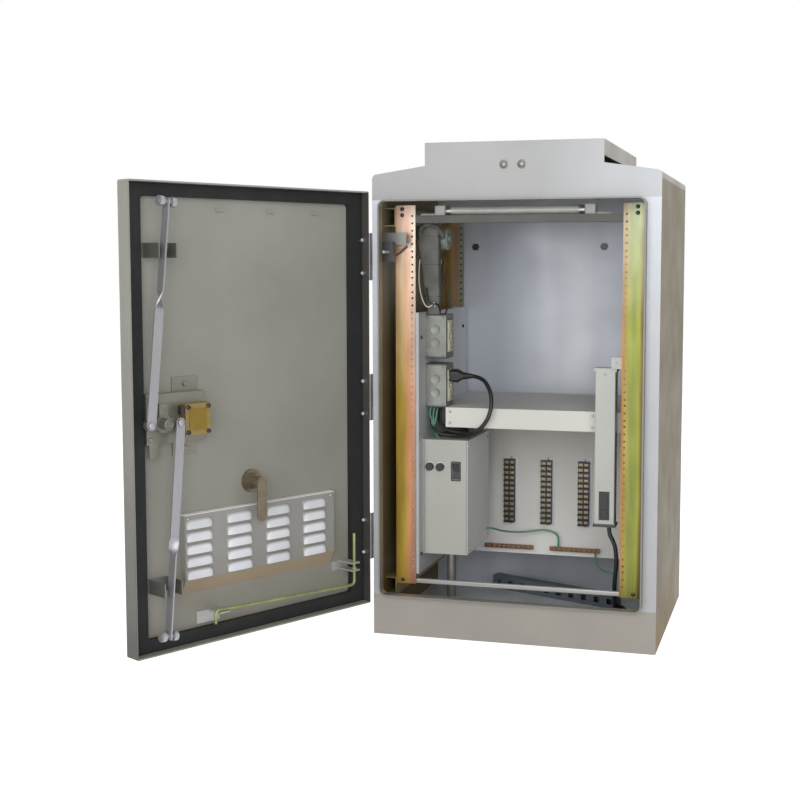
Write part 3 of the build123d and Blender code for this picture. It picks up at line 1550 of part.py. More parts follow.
# Latch rods: flat bars, pinned flat on the cam, twisted a quarter turn, with a roller axle
def latch_rod(name, pin_u, end_u, end_v):
    """One rod in its own frame: x along the rod, y across it, z outwards through the door."""
    pin = door_point(pin_u, cam_v, rod_w)
    span = door_point(end_u, end_v, rod_w) - pin
    length = span.length
    frame = Plane(origin=pin, x_dir=span, z_dir=door_plane.z_dir)
    twist_end = twist_start + twist_length
    axle_end = roller_spread + roller_width / 2 + face_gap + axle_head

    def across(distance, turn=0.0):
        """Section across the rod, its x turned from across the door to through it."""
        side = frame.y_dir * cos(radians(turn)) + frame.z_dir * sin(radians(turn))
        return Plane(origin=frame.from_local_coords(Vector(distance, 0, 0)), x_dir=side, z_dir=frame.x_dir)

    with BuildPart() as rod:
        with BuildSketch(frame.offset(-rod_sheet / 2)):
            with Locations((twist_start / 2, 0)):
                Rectangle(twist_start, rod_width)
            Circle(rod_width / 2)
            Circle(rod_pin_radius + running_gap, mode=Mode.SUBTRACT)
        extrude(amount=rod_sheet)
        for step in range(twist_steps + 1):
            share = step / twist_steps
            with BuildSketch(across(twist_start + share * twist_length, 90 * share)):
                Rectangle(rod_width, rod_sheet)
        loft(ruled=True)
        with BuildSketch(across(twist_end, 90)):
            Rectangle(rod_width, rod_sheet)
        extrude(amount=length - twist_end + rod_end_margin)
        axle_plane = Plane(
            origin=frame.from_local_coords(Vector(length, -axle_end, 0)),
            x_dir=frame.x_dir,
            z_dir=frame.y_dir,
        )
        with BuildSketch(axle_plane):
            Circle(axle_radius)
        extrude(amount=2 * axle_end)
        for head in (0, 2 * axle_end - axle_head):
            with BuildSketch(axle_plane.offset(head)):
                Circle(axle_collar_radius)
            extrude(amount=axle_head)
        collar_reach = roller_spread - roller_width / 2 - face_gap
        with BuildSketch(axle_plane.offset(axle_end - collar_reach)):
            Circle(axle_collar_radius)
        extrude(amount=2 * collar_reach)
    save(rod, f"{name}_rod")

    with BuildPart() as rollers:
        for centre in (axle_end - roller_spread, axle_end + roller_spread):
            with BuildSketch(axle_plane.offset(centre - roller_width / 2)):
                Circle(roller_radius)
                Circle(axle_radius + running_gap, mode=Mode.SUBTRACT)
            extrude(amount=roller_width)
    save(rollers, f"{name}_rollers")


latch_rod("upper", cam_u + cam_pin_offset, upper_end_u, upper_end_v)
latch_rod("lower", cam_u - cam_pin_offset, lower_end_u, lower_end_v)

# Cam lock: a barrel through the door with a washer, a nut and a hanging arm
washer_w = door_floor_w - face_gap - cam_lock_washer_height
with BuildPart() as cam_lock:
    with BuildSketch(door_face(cam_lock_end_w)):
        with Locations((cam_lock_u, cam_lock_v)):
            Circle(cam_lock_radius)
    extrude(amount=spindle_end_w - cam_lock_end_w)
    with BuildSketch(door_face(spindle_end_w)):
        with Locations((cam_lock_u, cam_lock_v)):
            Circle(cam_lock_head_radius)
    extrude(amount=cam_lock_head_height)
    with BuildSketch(door_face(washer_w)):
        with Locations((cam_lock_u, cam_lock_v)):
            Circle(cam_lock_washer_radius)
    extrude(amount=cam_lock_washer_height)
    with BuildSketch(door_face(washer_w)):
        with Locations((cam_lock_u, cam_lock_v)):
            RegularPolygon(cam_lock_nut_radius, 6)
    extrude(amount=-cam_lock_nut_height)
    with BuildSketch(door_face(cam_lock_end_w)):
        with Locations((cam_lock_u, cam_lock_v - cam_lock_arm_length / 2)):
            SlotCenterToCenter(cam_lock_arm_length, cam_lock_arm_width, rotation=90)
    extrude(amount=cam_lock_arm_sheet)
save(cam_lock, "cam_lock")

# Stay rod: a bent round bar that hinges on its upright leg
stay_points = [
    door_point(stay_u, stay_top, stay_w),
    door_point(stay_u, stay_elbow_v, stay_w),
    door_point(stay_end_u, stay_end_v, stay_w),
    door_point(stay_end_u, stay_hook_v, stay_w),
]
collar_v = stay_bracket_v + stay_bracket_sheet + face_gap
with BuildPart() as stay_rod:
    with BuildLine() as stay_line:
        FilletPolyline(*stay_points, radius=stay_bend)
    with BuildSketch(Plane(origin=stay_points[0], z_dir=(0, 0, -1))) as stay_section:
        Circle(stay_radius)
    sweep(stay_section.sketch, path=stay_line.line)
    with BuildSketch(door_section(collar_v)):
        with Locations((stay_u, -stay_w)):
            Circle(stay_collar_radius)
    extrude(amount=stay_collar_height)
save(stay_rod, "stay_rod")

tab_depth = door_floor_w - stay_bracket_tip_w
tab_u = stay_bracket_right + stay_bracket_tab / 2
rest_u = (stay_rest_left + stay_rest_right) / 2
rest_rise = (stay_end_v - stay_elbow_v) / (stay_end_u - stay_u)
rest_low_u = stay_rest_jaw_u - stay_rest_jaw / 2
rest_top_v = stay_elbow_v + (rest_low_u - stay_u) * rest_rise - stay_radius - face_gap
rest_depth = door_floor_w - stay_rest_tip_w
with BuildPart() as stay_brackets:
    with BuildSketch(door_face(door_floor_w - stay_bracket_sheet)):
        with Locations(
            ((stay_bracket_left + stay_bracket_right) / 2, stay_bracket_v + stay_bracket_height / 2)
        ):
            Rectangle(stay_bracket_left - stay_bracket_right, stay_bracket_height)
        with Locations((rest_u, rest_top_v - stay_rest_height / 2)):
            Rectangle(stay_rest_left - stay_rest_right, stay_rest_height)
    extrude(amount=stay_bracket_sheet)
    for tab_v in (stay_bracket_v, stay_bracket_v + stay_bracket_height - stay_bracket_sheet):
        with BuildSketch(door_section(tab_v)):
            with Locations((tab_u, -door_floor_w + tab_depth / 2)):
                Rectangle(stay_bracket_tab, tab_depth)
            with Locations((stay_u, -stay_w)):
                Circle(stay_radius + stay_fit, mode=Mode.SUBTRACT)
        extrude(amount=stay_bracket_sheet)
    with BuildSketch(door_section(rest_top_v - stay_bracket_sheet)):
        with Locations((stay_rest_jaw_u, -door_floor_w + rest_depth / 2)):
            Rectangle(stay_rest_jaw, rest_depth)
    extrude(amount=stay_bracket_sheet)
save(stay_brackets, "stay_brackets")
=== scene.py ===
"""Roadside utility cabinet: finishes, small fittings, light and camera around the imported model.

Metres, +Z up, the front faces -Y. Sizes and places of the fittings are in millimetres and are
turned to metres by mm() and door_point(). The door's own coordinates are u from the hinge side,
v up and w outwards through the door.
"""

from math import cos, pi, radians, sin

import bmesh
import bpy
from mathutils import Matrix, Vector


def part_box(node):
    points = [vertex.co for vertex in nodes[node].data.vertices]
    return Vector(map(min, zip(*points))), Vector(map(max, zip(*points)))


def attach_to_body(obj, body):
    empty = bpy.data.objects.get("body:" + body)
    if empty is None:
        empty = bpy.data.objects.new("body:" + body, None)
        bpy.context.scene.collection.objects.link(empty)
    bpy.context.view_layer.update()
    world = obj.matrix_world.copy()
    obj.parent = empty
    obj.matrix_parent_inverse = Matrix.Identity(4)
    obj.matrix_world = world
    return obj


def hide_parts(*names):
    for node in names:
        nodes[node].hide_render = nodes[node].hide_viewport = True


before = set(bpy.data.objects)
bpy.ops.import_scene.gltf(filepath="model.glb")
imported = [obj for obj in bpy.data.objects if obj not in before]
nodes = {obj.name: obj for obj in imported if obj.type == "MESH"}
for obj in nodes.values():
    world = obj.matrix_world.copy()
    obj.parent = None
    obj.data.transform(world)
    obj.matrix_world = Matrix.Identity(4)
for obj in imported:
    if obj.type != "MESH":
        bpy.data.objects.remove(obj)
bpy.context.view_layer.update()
scene = bpy.context.scene

# The door's own directions and its origin in metres, with the door open as it rests
DOOR_ORIGIN = Vector((-0.3079326, -0.2677621, 0.0))
DOOR_U = Vector((-0.469472, -0.882948, 0.0))
DOOR_W = Vector((-0.882948, 0.469472, 0.0))
UP = Vector((0.0, 0.0, 1.0))
FRONT = Vector((0.0, -1.0, 0.0))
RIGHT = Vector((1.0, 0.0, 0.0))


def door_point(u, v, w):
    """World position of a door point given in millimetres."""
    return DOOR_ORIGIN + DOOR_U * (u / 1000) + UP * (v / 1000) + DOOR_W * (w / 1000)


def mm(*values):
    """A vector from millimetres."""
    return Vector(values) / 1000


class Box:
    """Where a solid of the frame lies, in millimetres. Its span from left to right is in metres."""

    def __init__(self, node):
        lowest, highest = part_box(node)
        self.left, self.front, self.bottom = (round(value * 1000, 2) for value in lowest)
        self.right, self.back, self.top = (round(value * 1000, 2) for value in highest)
        self.span_x = (self.left / 1000, self.right / 1000)
        self.x = (self.left + self.right) / 2
        self.y = (self.front + self.back) / 2
        self.z = (self.bottom + self.top) / 2


# Colours are written as they look, in 0 to 255
WHITE = (255, 255, 255)


def linear(rgb):
    """Linear colour of a display colour."""
    out = []
    for value in rgb:
        share = value / 255
        out.append(share / 12.92 if share <= 0.04045 else ((share + 0.055) / 1.055) ** 2.4)
    return (*out, 1.0)


# Materials. Noises are given as scale and detail.
NOISE_SPAN = (0.3, 0.7)
CLOUDS = (5.5, 5.0)
ORANGE_PEEL = (900.0, 2.0)
SHEET_GRAIN = (70.0, 5.0)
BUMP_DEPTH = 0.0002
PEEL_STRENGTH = 0.12
GRAIN_STRENGTH = 0.05
# Ranges of roughness that several finishes share
PAINT_ROUGHNESS = (0.38, 0.52)
MATT = (0.4, 0.55)
SATIN = (0.34, 0.5)
SMOOTH = (0.34, 0.48)
POLISHED = (0.3, 0.45)
# Sockets of the mix node when it mixes colours
MIX_FACTOR, MIX_FIRST, MIX_SECOND, MIX_RESULT = 0, 6, 7, 2


class Nodes:
    """A node tree with short calls for the nodes that the finishes share."""

    def __init__(self, name):
        self.material = bpy.data.materials.new(name)
        self.material.use_nodes = True
        self.tree = self.material.node_tree
        self.shader = self.tree.nodes["Principled BSDF"]
        self.place = self.tree.nodes.new("ShaderNodeTexCoord").outputs["Object"]

    def node(self, kind, **values):
        """A new node with its settings."""
        made = self.tree.nodes.new(kind)
        for key, value in values.items():
            setattr(made, key, value)
        return made

    def link(self, source, target):
        """Join an output to an input."""
        self.tree.links.new(source, target)

    def stretched(self, scale):
        """Object coordinates scaled by axis."""
        mapping = self.node("ShaderNodeMapping")
        mapping.inputs["Scale"].default_value = scale
        self.link(self.place, mapping.inputs["Vector"])
        return mapping.outputs["Vector"]

    def noise(self, scale, detail=3.0, stretch=(1, 1, 1), roughness=0.5):
        """Cloudy values round a half, stretched by axis."""
        texture = self.node("ShaderNodeTexNoise")
        texture.inputs["Scale"].default_value = scale
        texture.inputs["Detail"].default_value = detail
        texture.inputs["Roughness"].default_value = roughness
        self.link(self.stretched(stretch), texture.inputs["Vector"])
        return texture.outputs["Fac"]

    def ramp(self, value, stops):
        """Colour ramp from (place, display colour) stops."""
        made = self.node("ShaderNodeValToRGB")
        band = made.color_ramp
        while len(band.elements) < len(stops):
            band.elements.new(0.5)
        for element, (place, rgb) in zip(band.elements, stops):
            element.position = place
            element.color = linear(rgb)
        self.link(value, made.inputs["Fac"])
        return made.outputs["Color"]

    def two_tones(self, value, dark, light):
        """Colour that goes with a noise from its low to its high."""
        return self.ramp(value, list(zip(NOISE_SPAN, (dark, light))))

    def remapped(self, value, low, high, new_low=0.0, new_high=1.0):
        """A value carried from one range to another."""
        made = self.node("ShaderNodeMapRange")
        made.inputs["From Min"].default_value = low
        made.inputs["From Max"].default_value = high
        made.inputs["To Min"].default_value = new_low
        made.inputs["To Max"].default_value = new_high
        self.link(value, made.inputs["Value"])
        return made.outputs["Result"]

    def along(self, axis, low, high):
        """0 to 1 along an object axis, between two places in metres."""
        split = self.node("ShaderNodeSeparateXYZ")
        self.link(self.place, split.inputs["Vector"])
        return self.remapped(split.outputs[axis], low, high)

    def towards(self, direction, start, end):
        """0 to 1 along any direction, between two distances in metres."""
        product = self.node("ShaderNodeVectorMath", operation="DOT_PRODUCT")
        product.inputs[1].default_value = direction
        self.link(self.place, product.inputs[0])
        return self.remapped(product.outputs["Value"], start, end)

    def mixed(self, factor, first, second, blend="MIX"):
        """Two colours mixed by a number or by a value from the tree."""
        mix = self.node("ShaderNodeMix", data_type="RGBA", blend_type=blend)
        if isinstance(factor, float):
            mix.inputs[MIX_FACTOR].default_value = factor
        else:
            self.link(factor, mix.inputs[MIX_FACTOR])
        self.link(first, mix.inputs[MIX_FIRST])
        self.link(second, mix.inputs[MIX_SECOND])
        return mix.outputs[MIX_RESULT]

    def bump(self, height, strength, distance=BUMP_DEPTH):
        """Fine relief on the shaded surface."""
        made = self.node("ShaderNodeBump")
        made.inputs["Strength"].default_value = strength
        made.inputs["Distance"].default_value = distance
        self.link(height, made.inputs["Height"])
        self.link(made.outputs["Normal"], self.shader.inputs["Normal"])

    def finish(self, colour, roughness, metallic=0.0):
        """Set what every finish has."""
        self.link(colour, self.shader.inputs["Base Color"])
        worn = self.remapped(self.noise(9.0, 4.0), *NOISE_SPAN, *roughness)
        self.link(worn, self.shader.inputs["Roughness"])
        self.shader.inputs["Metallic"].default_value = metallic
        return self.material


def shades(rgb, amount):
    """A darker and a lighter version of a display colour."""
    dark = tuple(max(0, round(value * (1 - amount))) for value in rgb)
    light = tuple(min(255, round(value * (1 + amount))) for value in rgb)
    return dark, light


def paint(name, rgb, amount):
    """Painted sheet: faint cloudy colour, fine orange peel."""
    build = Nodes(name)
    colour = build.two_tones(build.noise(*CLOUDS), *shades(rgb, amount))
    build.bump(build.noise(*ORANGE_PEEL), PEEL_STRENGTH)
    return build.finish(colour, PAINT_ROUGHNESS)


def graded_paint(name, axis, ends, stops, amount=0.035, roughness=PAINT_ROUGHNESS, patches=()):
    """Paint whose tone changes along an axis. Each patch is a place with the stops used there."""
    build = Nodes(name)
    colour = build.ramp(build.along(axis, *ends), stops)
    for place, patch_stops in patches:
        patch_colour = build.ramp(build.along(axis, *ends), patch_stops)
        colour = build.mixed(build.towards(*place), colour, patch_colour)
    pale = round(255 * (1 - 2 * amount))
    cloud = build.two_tones(build.noise(*CLOUDS), (pale, pale, pale), WHITE)
    build.bump(build.noise(*ORANGE_PEEL), PEEL_STRENGTH)
    return build.finish(build.mixed(1.0, colour, cloud, "MULTIPLY"), roughness)


def brushed(name, rgb, amount, roughness, metallic, stretch=(1, 1, 1), scale=14.0):
    """Bare metal with a drawn grain."""
    build = Nodes(name)
    grain = build.noise(scale, 6.0, stretch, 0.6)
    cloud = build.two_tones(build.noise(6.0, 3.0), shades(rgb, amount * 1.4)[0], rgb)
    lines = build.two_tones(grain, *shades(rgb, amount))
    build.bump(grain, 0.12)
    return build.finish(build.mixed(0.5, cloud, lines), roughness, metallic)


def plastic(name, rgb, roughness, amount=0.03, strength=0.06, scale=1400.0):
    """Moulded plastic: even colour, fine moulding texture."""
    build = Nodes(name)
    colour = build.two_tones(build.noise(20.0, 3.0), *shades(rgb, amount))
    build.bump(build.noise(scale, 2.0), strength)
    return build.finish(colour, roughness)


WANDER = 0.24


def passivated(name, x_range, upper, lower, z_range=(0.1, 0.93)):
    """Yellow zinc: colours run across the rail and change from its top to its foot."""
    build = Nodes(name)
    wander = build.node("ShaderNodeMath", operation="MULTIPLY_ADD")
    wander.inputs[1].default_value = WANDER
    build.link(build.noise(5.0, 3.0), wander.inputs[0])
    build.link(build.along("X", *x_range), wander.inputs[2])
    centred = build.node("ShaderNodeMath", operation="SUBTRACT")
    centred.inputs[1].default_value = WANDER / 2
    build.link(wander.outputs[0], centred.inputs[0])
    top = build.ramp(centred.outputs[0], upper)
    foot = build.ramp(centred.outputs[0], lower)
    colour = build.mixed(build.along("Z", *z_range), foot, top)
    streak = build.two_tones(build.noise(10.0, 5.0, (6, 6, 0.6)), (205, 205, 205), WHITE)
    build.bump(build.noise(60.0, 4.0, (1, 1, 0.2)), 0.08)
    return build.finish(build.mixed(1.0, colour, streak, "MULTIPLY"), (0.32, 0.48), 0.45)


def bare_sheet(name, dark, light, stretch, scale, metallic):
    """Bare sheet that carries soft, blurred bands."""
    build = Nodes(name)
    colour = build.two_tones(build.noise(scale, 2.0, stretch, 0.55), dark, light)
    grain = build.noise(*SHEET_GRAIN, (1, 8, 8))
    fine = build.two_tones(grain, (238, 238, 238), WHITE)
    build.bump(grain, GRAIN_STRENGTH)
    return build.finish(build.mixed(1.0, colour, fine, "MULTIPLY"), SATIN, metallic)


def graded_sheet(name, x_range, stops):
    """Bare sheet that changes from its left to its right, with faint upright bands."""
    build = Nodes(name)
    graded = build.ramp(build.along("X", *x_range), stops)
    bands = build.two_tones(build.noise(2.4, 2.0, (3.0, 1, 0.5)), (222, 224, 228), WHITE)
    build.bump(build.noise(*SHEET_GRAIN, (1, 8, 8)), GRAIN_STRENGTH)
    return build.finish(build.mixed(1.0, graded, bands, "MULTIPLY"), (0.3, 0.42), 0.2)


def side_sheet_painted_light():
    """Bare side sheet: warm, lighter at the top and duller towards its foot as painted light, with soft
    level bands that are painted reflections.
    """
    build = Nodes("side_sheet")
    tone = build.ramp(
        build.along("Z", 0.0, 1.0),
        [(0.0, (144, 117, 66)), (0.12, (117, 101, 64)), (0.5, (122, 106, 74)), (1.0, (172, 160, 130))],
    )
    bands = build.two_tones(build.noise(2.1, 2.0, (0.6, 0.9, 3.4)), (214, 214, 214), WHITE)
    build.bump(build.noise(*SHEET_GRAIN, (8, 1, 8)), GRAIN_STRENGTH)
    build.shader.inputs["Specular IOR Level"].default_value = 0.3
    return build.finish(build.mixed(1.0, tone, bands, "MULTIPLY"), (0.42, 0.56))


TIE_BAR_START_X = (-0.233, -0.231)


def support_finish():
    """Yellow zinc on the cross channels, plain grey zinc on the bar across the front."""
    build = Nodes("support_zinc")
    on_bar = build.towards(tuple(RIGHT), *TIE_BAR_START_X)
    yellow = build.two_tones(build.noise(9.0, 5.0), (150, 136, 92), (190, 176, 134))
    grey = build.two_tones(build.noise(9.0, 5.0, (0.4, 6, 6)), (168, 167, 166), (196, 195, 193))
    return build.finish(build.mixed(on_bar, yellow, grey), SATIN, 0.4)


def door_place(direction, start, end):
    """A place on the door, between two distances in millimetres along one of its directions."""
    base = DOOR_ORIGIN.dot(direction)
    return (tuple(direction), base + start / 1000, base + end / 1000)


# Header paint, lighter towards its right end: painted light.
shell_paint = graded_paint(
    "shell_paint", "X", (-0.3, 0.3),
    [(0.0, (180, 181, 180)), (0.6, (183, 184, 184)), (1.0, (208, 211, 216))],
    0.02,
)
# Stile paint, lighter towards the top: painted light from above.
stile_paint = graded_paint(
    "stile_paint", "Z", (0.1, 0.95),
    [(0.0, (186, 187, 190)), (0.5, (196, 198, 202)), (1.0, (232, 236, 243))],
    0.02,
)
# Sill paint, a darker copy of the frame's paint: painted shade.
sill_paint = paint("sill_paint", (162, 157, 149), 0.03)
# Door paint: darker towards the bottom as painted shade. The flange along the free edge, darkest at its
# foot, and the strip by the hinge edge are painted shade as well.
free_edge_painted_shade = [(0.0, (92, 91, 86)), (0.2, (122, 120, 113)), (0.6, (156, 154, 145))]
free_edge_painted_shade += [(1.0, (164, 162, 152))]
hinge_edge_painted_shade = [(0.0, (70, 68, 64)), (1.0, (78, 76, 72))]
door_paint = graded_paint(
    "door_paint", "Z", (0.1, 0.92),
    [(0.0, (150, 147, 136)), (0.4, (158, 157, 148)), (0.75, (160, 160, 151)), (1.0, (170, 169, 160))],
    patches=[
        (door_place(DOOR_U, 590.0, 591.0), free_edge_painted_shade),
        (door_place(-DOOR_U, -5.0, -3.0), hinge_edge_painted_shade),
    ],
)
# Vent paint: darker towards the bottom as painted shade. The hoods are near white as a painted
# highlight, the sloped foot sheet below the fold is lighter as painted light, and a painted highlight
# runs along the top edge.
louvre_painted_highlight = [(0.0, (238, 240, 248)), (0.6, (250, 251, 255)), (1.0, (228, 229, 234))]
fold_painted_light = [(0.0, (172, 154, 128)), (1.0, (172, 154, 128))]
top_edge_painted_highlight = [(0.0, (246, 244, 240)), (1.0, (246, 244, 240))]
vent_paint = graded_paint(
    "vent_paint", "Z", (0.16, 0.33),
    [(0.0, (150, 146, 137)), (0.5, (160, 158, 154)), (1.0, (164, 162, 158))],
    patches=[
        (door_place(-DOOR_W, -14.6, -12.0), louvre_painted_highlight),
        (door_place(-UP, -197.5, -196.5), fold_painted_light),
        (door_place(UP, 323.2, 323.8), top_edge_painted_highlight),
    ],
)
lip_metal = brushed("lip_metal", (128, 127, 121), 0.06, (0.36, 0.5), 0.3, (1, 1, 40))
side_sheet = side_sheet_painted_light()
roof_sheet = bare_sheet("roof_sheet", (162, 158, 147), (184, 180, 170), (1, 1, 1), 3.0, 0.45)
floor_sheet = bare_sheet("floor_sheet", (218, 223, 232), (240, 242, 246), (1.6, 1.6, 1), 5.0, 0.0)
# Back wall: its tone from left to right is painted light, lightest at the left where the rail and plate
# cast shadow.
wall_painted_light_tones = [(0.0, (222, 228, 238)), (0.12, (206, 211, 221)), (0.35, (186, 190, 197))]
wall_painted_light_tones += [(0.6, (184, 187, 193)), (0.85, (194, 198, 206))]
wall_sheet = graded_sheet("wall_sheet", (-0.24, 0.27), wall_painted_light_tones)
# Side plate: lighter towards the back, painted light.
plate_sheet = graded_paint(
    "plate_sheet", "Y", (-0.17, 0.2),
    [(0.0, (190, 192, 194)), (0.3, (200, 203, 206)), (1.0, (228, 231, 237))],
)
left_rails_x = Box("rack_rail_front_left").span_x
right_rails_x = Box("rack_rail_front_right").span_x
# Right rail's foot: the dark last stop at its right edge is the side flange's painted shade. The other
# stops are the zinc's own colours.
right_foot_tones = [(0.04, (178, 126, 64)), (0.2, (168, 154, 66)), (0.5, (140, 152, 72))]
right_foot_tones += [(0.78, (158, 158, 60)), (0.95, (104, 84, 40))]
left_rail_zinc = passivated(
    "left_rail_zinc", left_rails_x,
    [(0.05, (246, 204, 180)), (0.35, (252, 222, 202)), (0.62, (244, 202, 182)), (0.9, (220, 214, 196))],
    [(0.05, (192, 156, 60)), (0.4, (190, 162, 54)), (0.66, (204, 138, 94)), (0.9, (180, 134, 108))],
    (0.5, 0.96),
)
right_rail_zinc = passivated(
    "right_rail_zinc", right_rails_x,
    [(0.05, (178, 176, 160)), (0.3, (190, 186, 162)), (0.6, (180, 196, 170)), (0.92, (200, 196, 172))],
    right_foot_tones,
    (0.68, 1.02),
)
rear_rail_zinc = passivated(
    "rear_rail_zinc", left_rails_x,
    [(0.05, (146, 120, 58)), (0.35, (196, 170, 122)), (0.6, (204, 168, 148)), (0.9, (172, 182, 164))],
    [(0.05, (146, 120, 58)), (0.4, (180, 148, 84)), (0.7, (180, 148, 112)), (0.9, (168, 160, 130))],
)
support_zinc = support_finish()
stay_zinc = brushed("stay_zinc", (152, 164, 104), 0.2, POLISHED, 0.4, scale=26.0)
rod_zinc = brushed("rod_zinc", (166, 165, 169), 0.05, POLISHED, 0.5, (6, 6, 0.5))
roller_zinc = brushed("roller_zinc", (174, 173, 178), 0.05, (0.28, 0.4), 0.5)
cam_steel = brushed("cam_steel", (130, 127, 118), 0.16, (0.3, 0.46), 0.6, scale=60.0)
case_steel = brushed("case_steel", (140, 137, 125), 0.07, SMOOTH, 0.5, (1, 1, 4))
guide_steel = brushed("guide_steel", (128, 129, 124), 0.1, SATIN, 0.6, (1, 1, 4))
bracket_steel = brushed("bracket_steel", (182, 181, 178), 0.08, SATIN, 0.4, (1, 1, 4))
hinge_steel = brushed("hinge_steel", (136, 136, 136), 0.1, (0.3, 0.44), 0.65, (1, 1, 4))
fastener_steel = brushed("fastener_steel", (176, 176, 178), 0.1, (0.24, 0.38), 0.8, scale=90.0)
dark_fastener = brushed("dark_fastener", (74, 70, 72), 0.2, POLISHED, 0.7, scale=90.0)
galvanised = brushed("galvanised", (125, 127, 122), 0.1, (0.36, 0.52), 0.55, scale=48.0)
conduit_steel = brushed("conduit_steel", (150, 150, 146), 0.12, SMOOTH, 0.6, scale=30.0)
brass = brushed("brass", (150, 132, 82), 0.12, SATIN, 0.5, scale=40.0)
lid_brass = brushed("lid_brass", (144, 118, 44), 0.1, SATIN, 0.45, scale=40.0)
lock_bronze = brushed("lock_bronze", (128, 117, 98), 0.14, (0.3, 0.44), 0.6, scale=60.0)
bolt_steel = brushed("bolt_steel", (138, 137, 132), 0.12, (0.3, 0.42), 0.75, scale=90.0)
copper = brushed("copper", (140, 104, 80), 0.14, (0.32, 0.46), 0.5, (6, 1, 1), 30.0)
terminal_brass = brushed("terminal_brass", (150, 137, 112), 0.14, (0.28, 0.4), 0.6, scale=90.0)
cream_shelf = paint("cream_shelf", (218, 216, 209), 0.02)
# Terminal board: darker towards its top, under the shelf, as the shelf's painted shadow. The
# lilac-white patch is the backing plates' own colour.
cream_board = graded_paint(
    "cream_board", "Z", (0.1, 0.44),
    [(0.0, (252, 251, 248)), (0.3, (240, 238, 232)), (0.6, (221, 219, 213)), (1.0, (208, 205, 196))],
    patches=[((tuple(FRONT), -0.1465, -0.1455), [(0.0, (236, 237, 245)), (1.0, (228, 229, 240))])],
)
# Lamp fixture: the dark lower band of its channel, under the tube, is painted shadow. The holders above
# are their own white.
cream_light = graded_paint(
    "cream_light", "Z", (0.89, 0.93),
    [(0.0, (84, 82, 76)), (0.42, (90, 88, 82)), (0.46, (206, 206, 201)), (1.0, (214, 214, 210))],
)
# Power supply case: the lighter copy on its right side face is painted light.
supply_paint = graded_paint(
    "supply_paint", "Z", (0.16, 0.41),
    [(0.0, (184, 184, 176)), (1.0, (182, 182, 175))],
    0.02,
    patches=[((tuple(RIGHT), -0.1236, -0.1232), [(0.0, (236, 237, 235)), (1.0, (236, 238, 239))])],
)
strip_plastic = graded_paint(
    "strip_plastic", "Z", (0.24, 0.6),
    [(0.0, (40, 40, 40)), (0.025, (44, 44, 44)), (0.03, (192, 194, 188)), (1.0, (196, 198, 192))],
    0.02,
    (0.3, 0.42),
)
socket_cream = plastic("socket_cream", (214, 211, 184), (0.28, 0.4))
sensor_grey = plastic("sensor_grey", (146, 149, 142), MATT)
switch_grey = plastic("switch_grey", (70, 70, 70), MATT)
plunger_white = plastic("plunger_white", (188, 188, 184), (0.3, 0.4))
black_plastic = plastic("black_plastic", (24, 24, 24), (0.36, 0.5))
duct_black = plastic("duct_black", (98, 105, 112), MATT)
lead_rubber = plastic("lead_rubber", (25, 26, 25), (0.42, 0.58), 0.08, 0.2, 260.0)
sleeve_braid = plastic("sleeve_braid", (98, 98, 93), (0.5, 0.7), 0.2, 0.7, 420.0)
wire_green = plastic("wire_green", (88, 150, 124), SMOOTH)
wire_white = plastic("wire_white", (214, 214, 206), SMOOTH)
wire_pink = plastic("wire_pink", (190, 128, 124), SMOOTH)
wire_red = plastic("wire_red", (150, 52, 44), SMOOTH)
# Dark for the holes and slots, as painted shade inside them, and for the seams' dark joints.
hole_dark = plastic("hole_dark", (34, 31, 30), (0.6, 0.8))


def foam_gasket():
    """Closed-cell strip: black, matte, with small open cells."""
    build = Nodes("gasket_foam")
    cells = build.node("ShaderNodeTexVoronoi")
    cells.inputs["Scale"].default_value = 520.0
    build.link(build.place, cells.inputs["Vector"])
    colour = build.two_tones(build.noise(22.0, 4.0), (11, 13, 13), (22, 24, 24))
    build.bump(cells.outputs["Distance"], 0.35, 0.0005)
    return build.finish(colour, (0.62, 0.82))


def tube_glass():
    """Frosted lamp tube with its powder coat."""
    build = Nodes("tube_glass")
    colour = build.two_tones(build.noise(16.0, 3.0), (196, 197, 190), (214, 214, 206))
    build.shader.inputs["Coat Weight"].default_value = 0.6
    build.shader.inputs["Coat Roughness"].default_value = 0.12
    return build.finish(colour, (0.3, 0.4))


gasket_foam = foam_gasket()
lamp_glass = tube_glass()

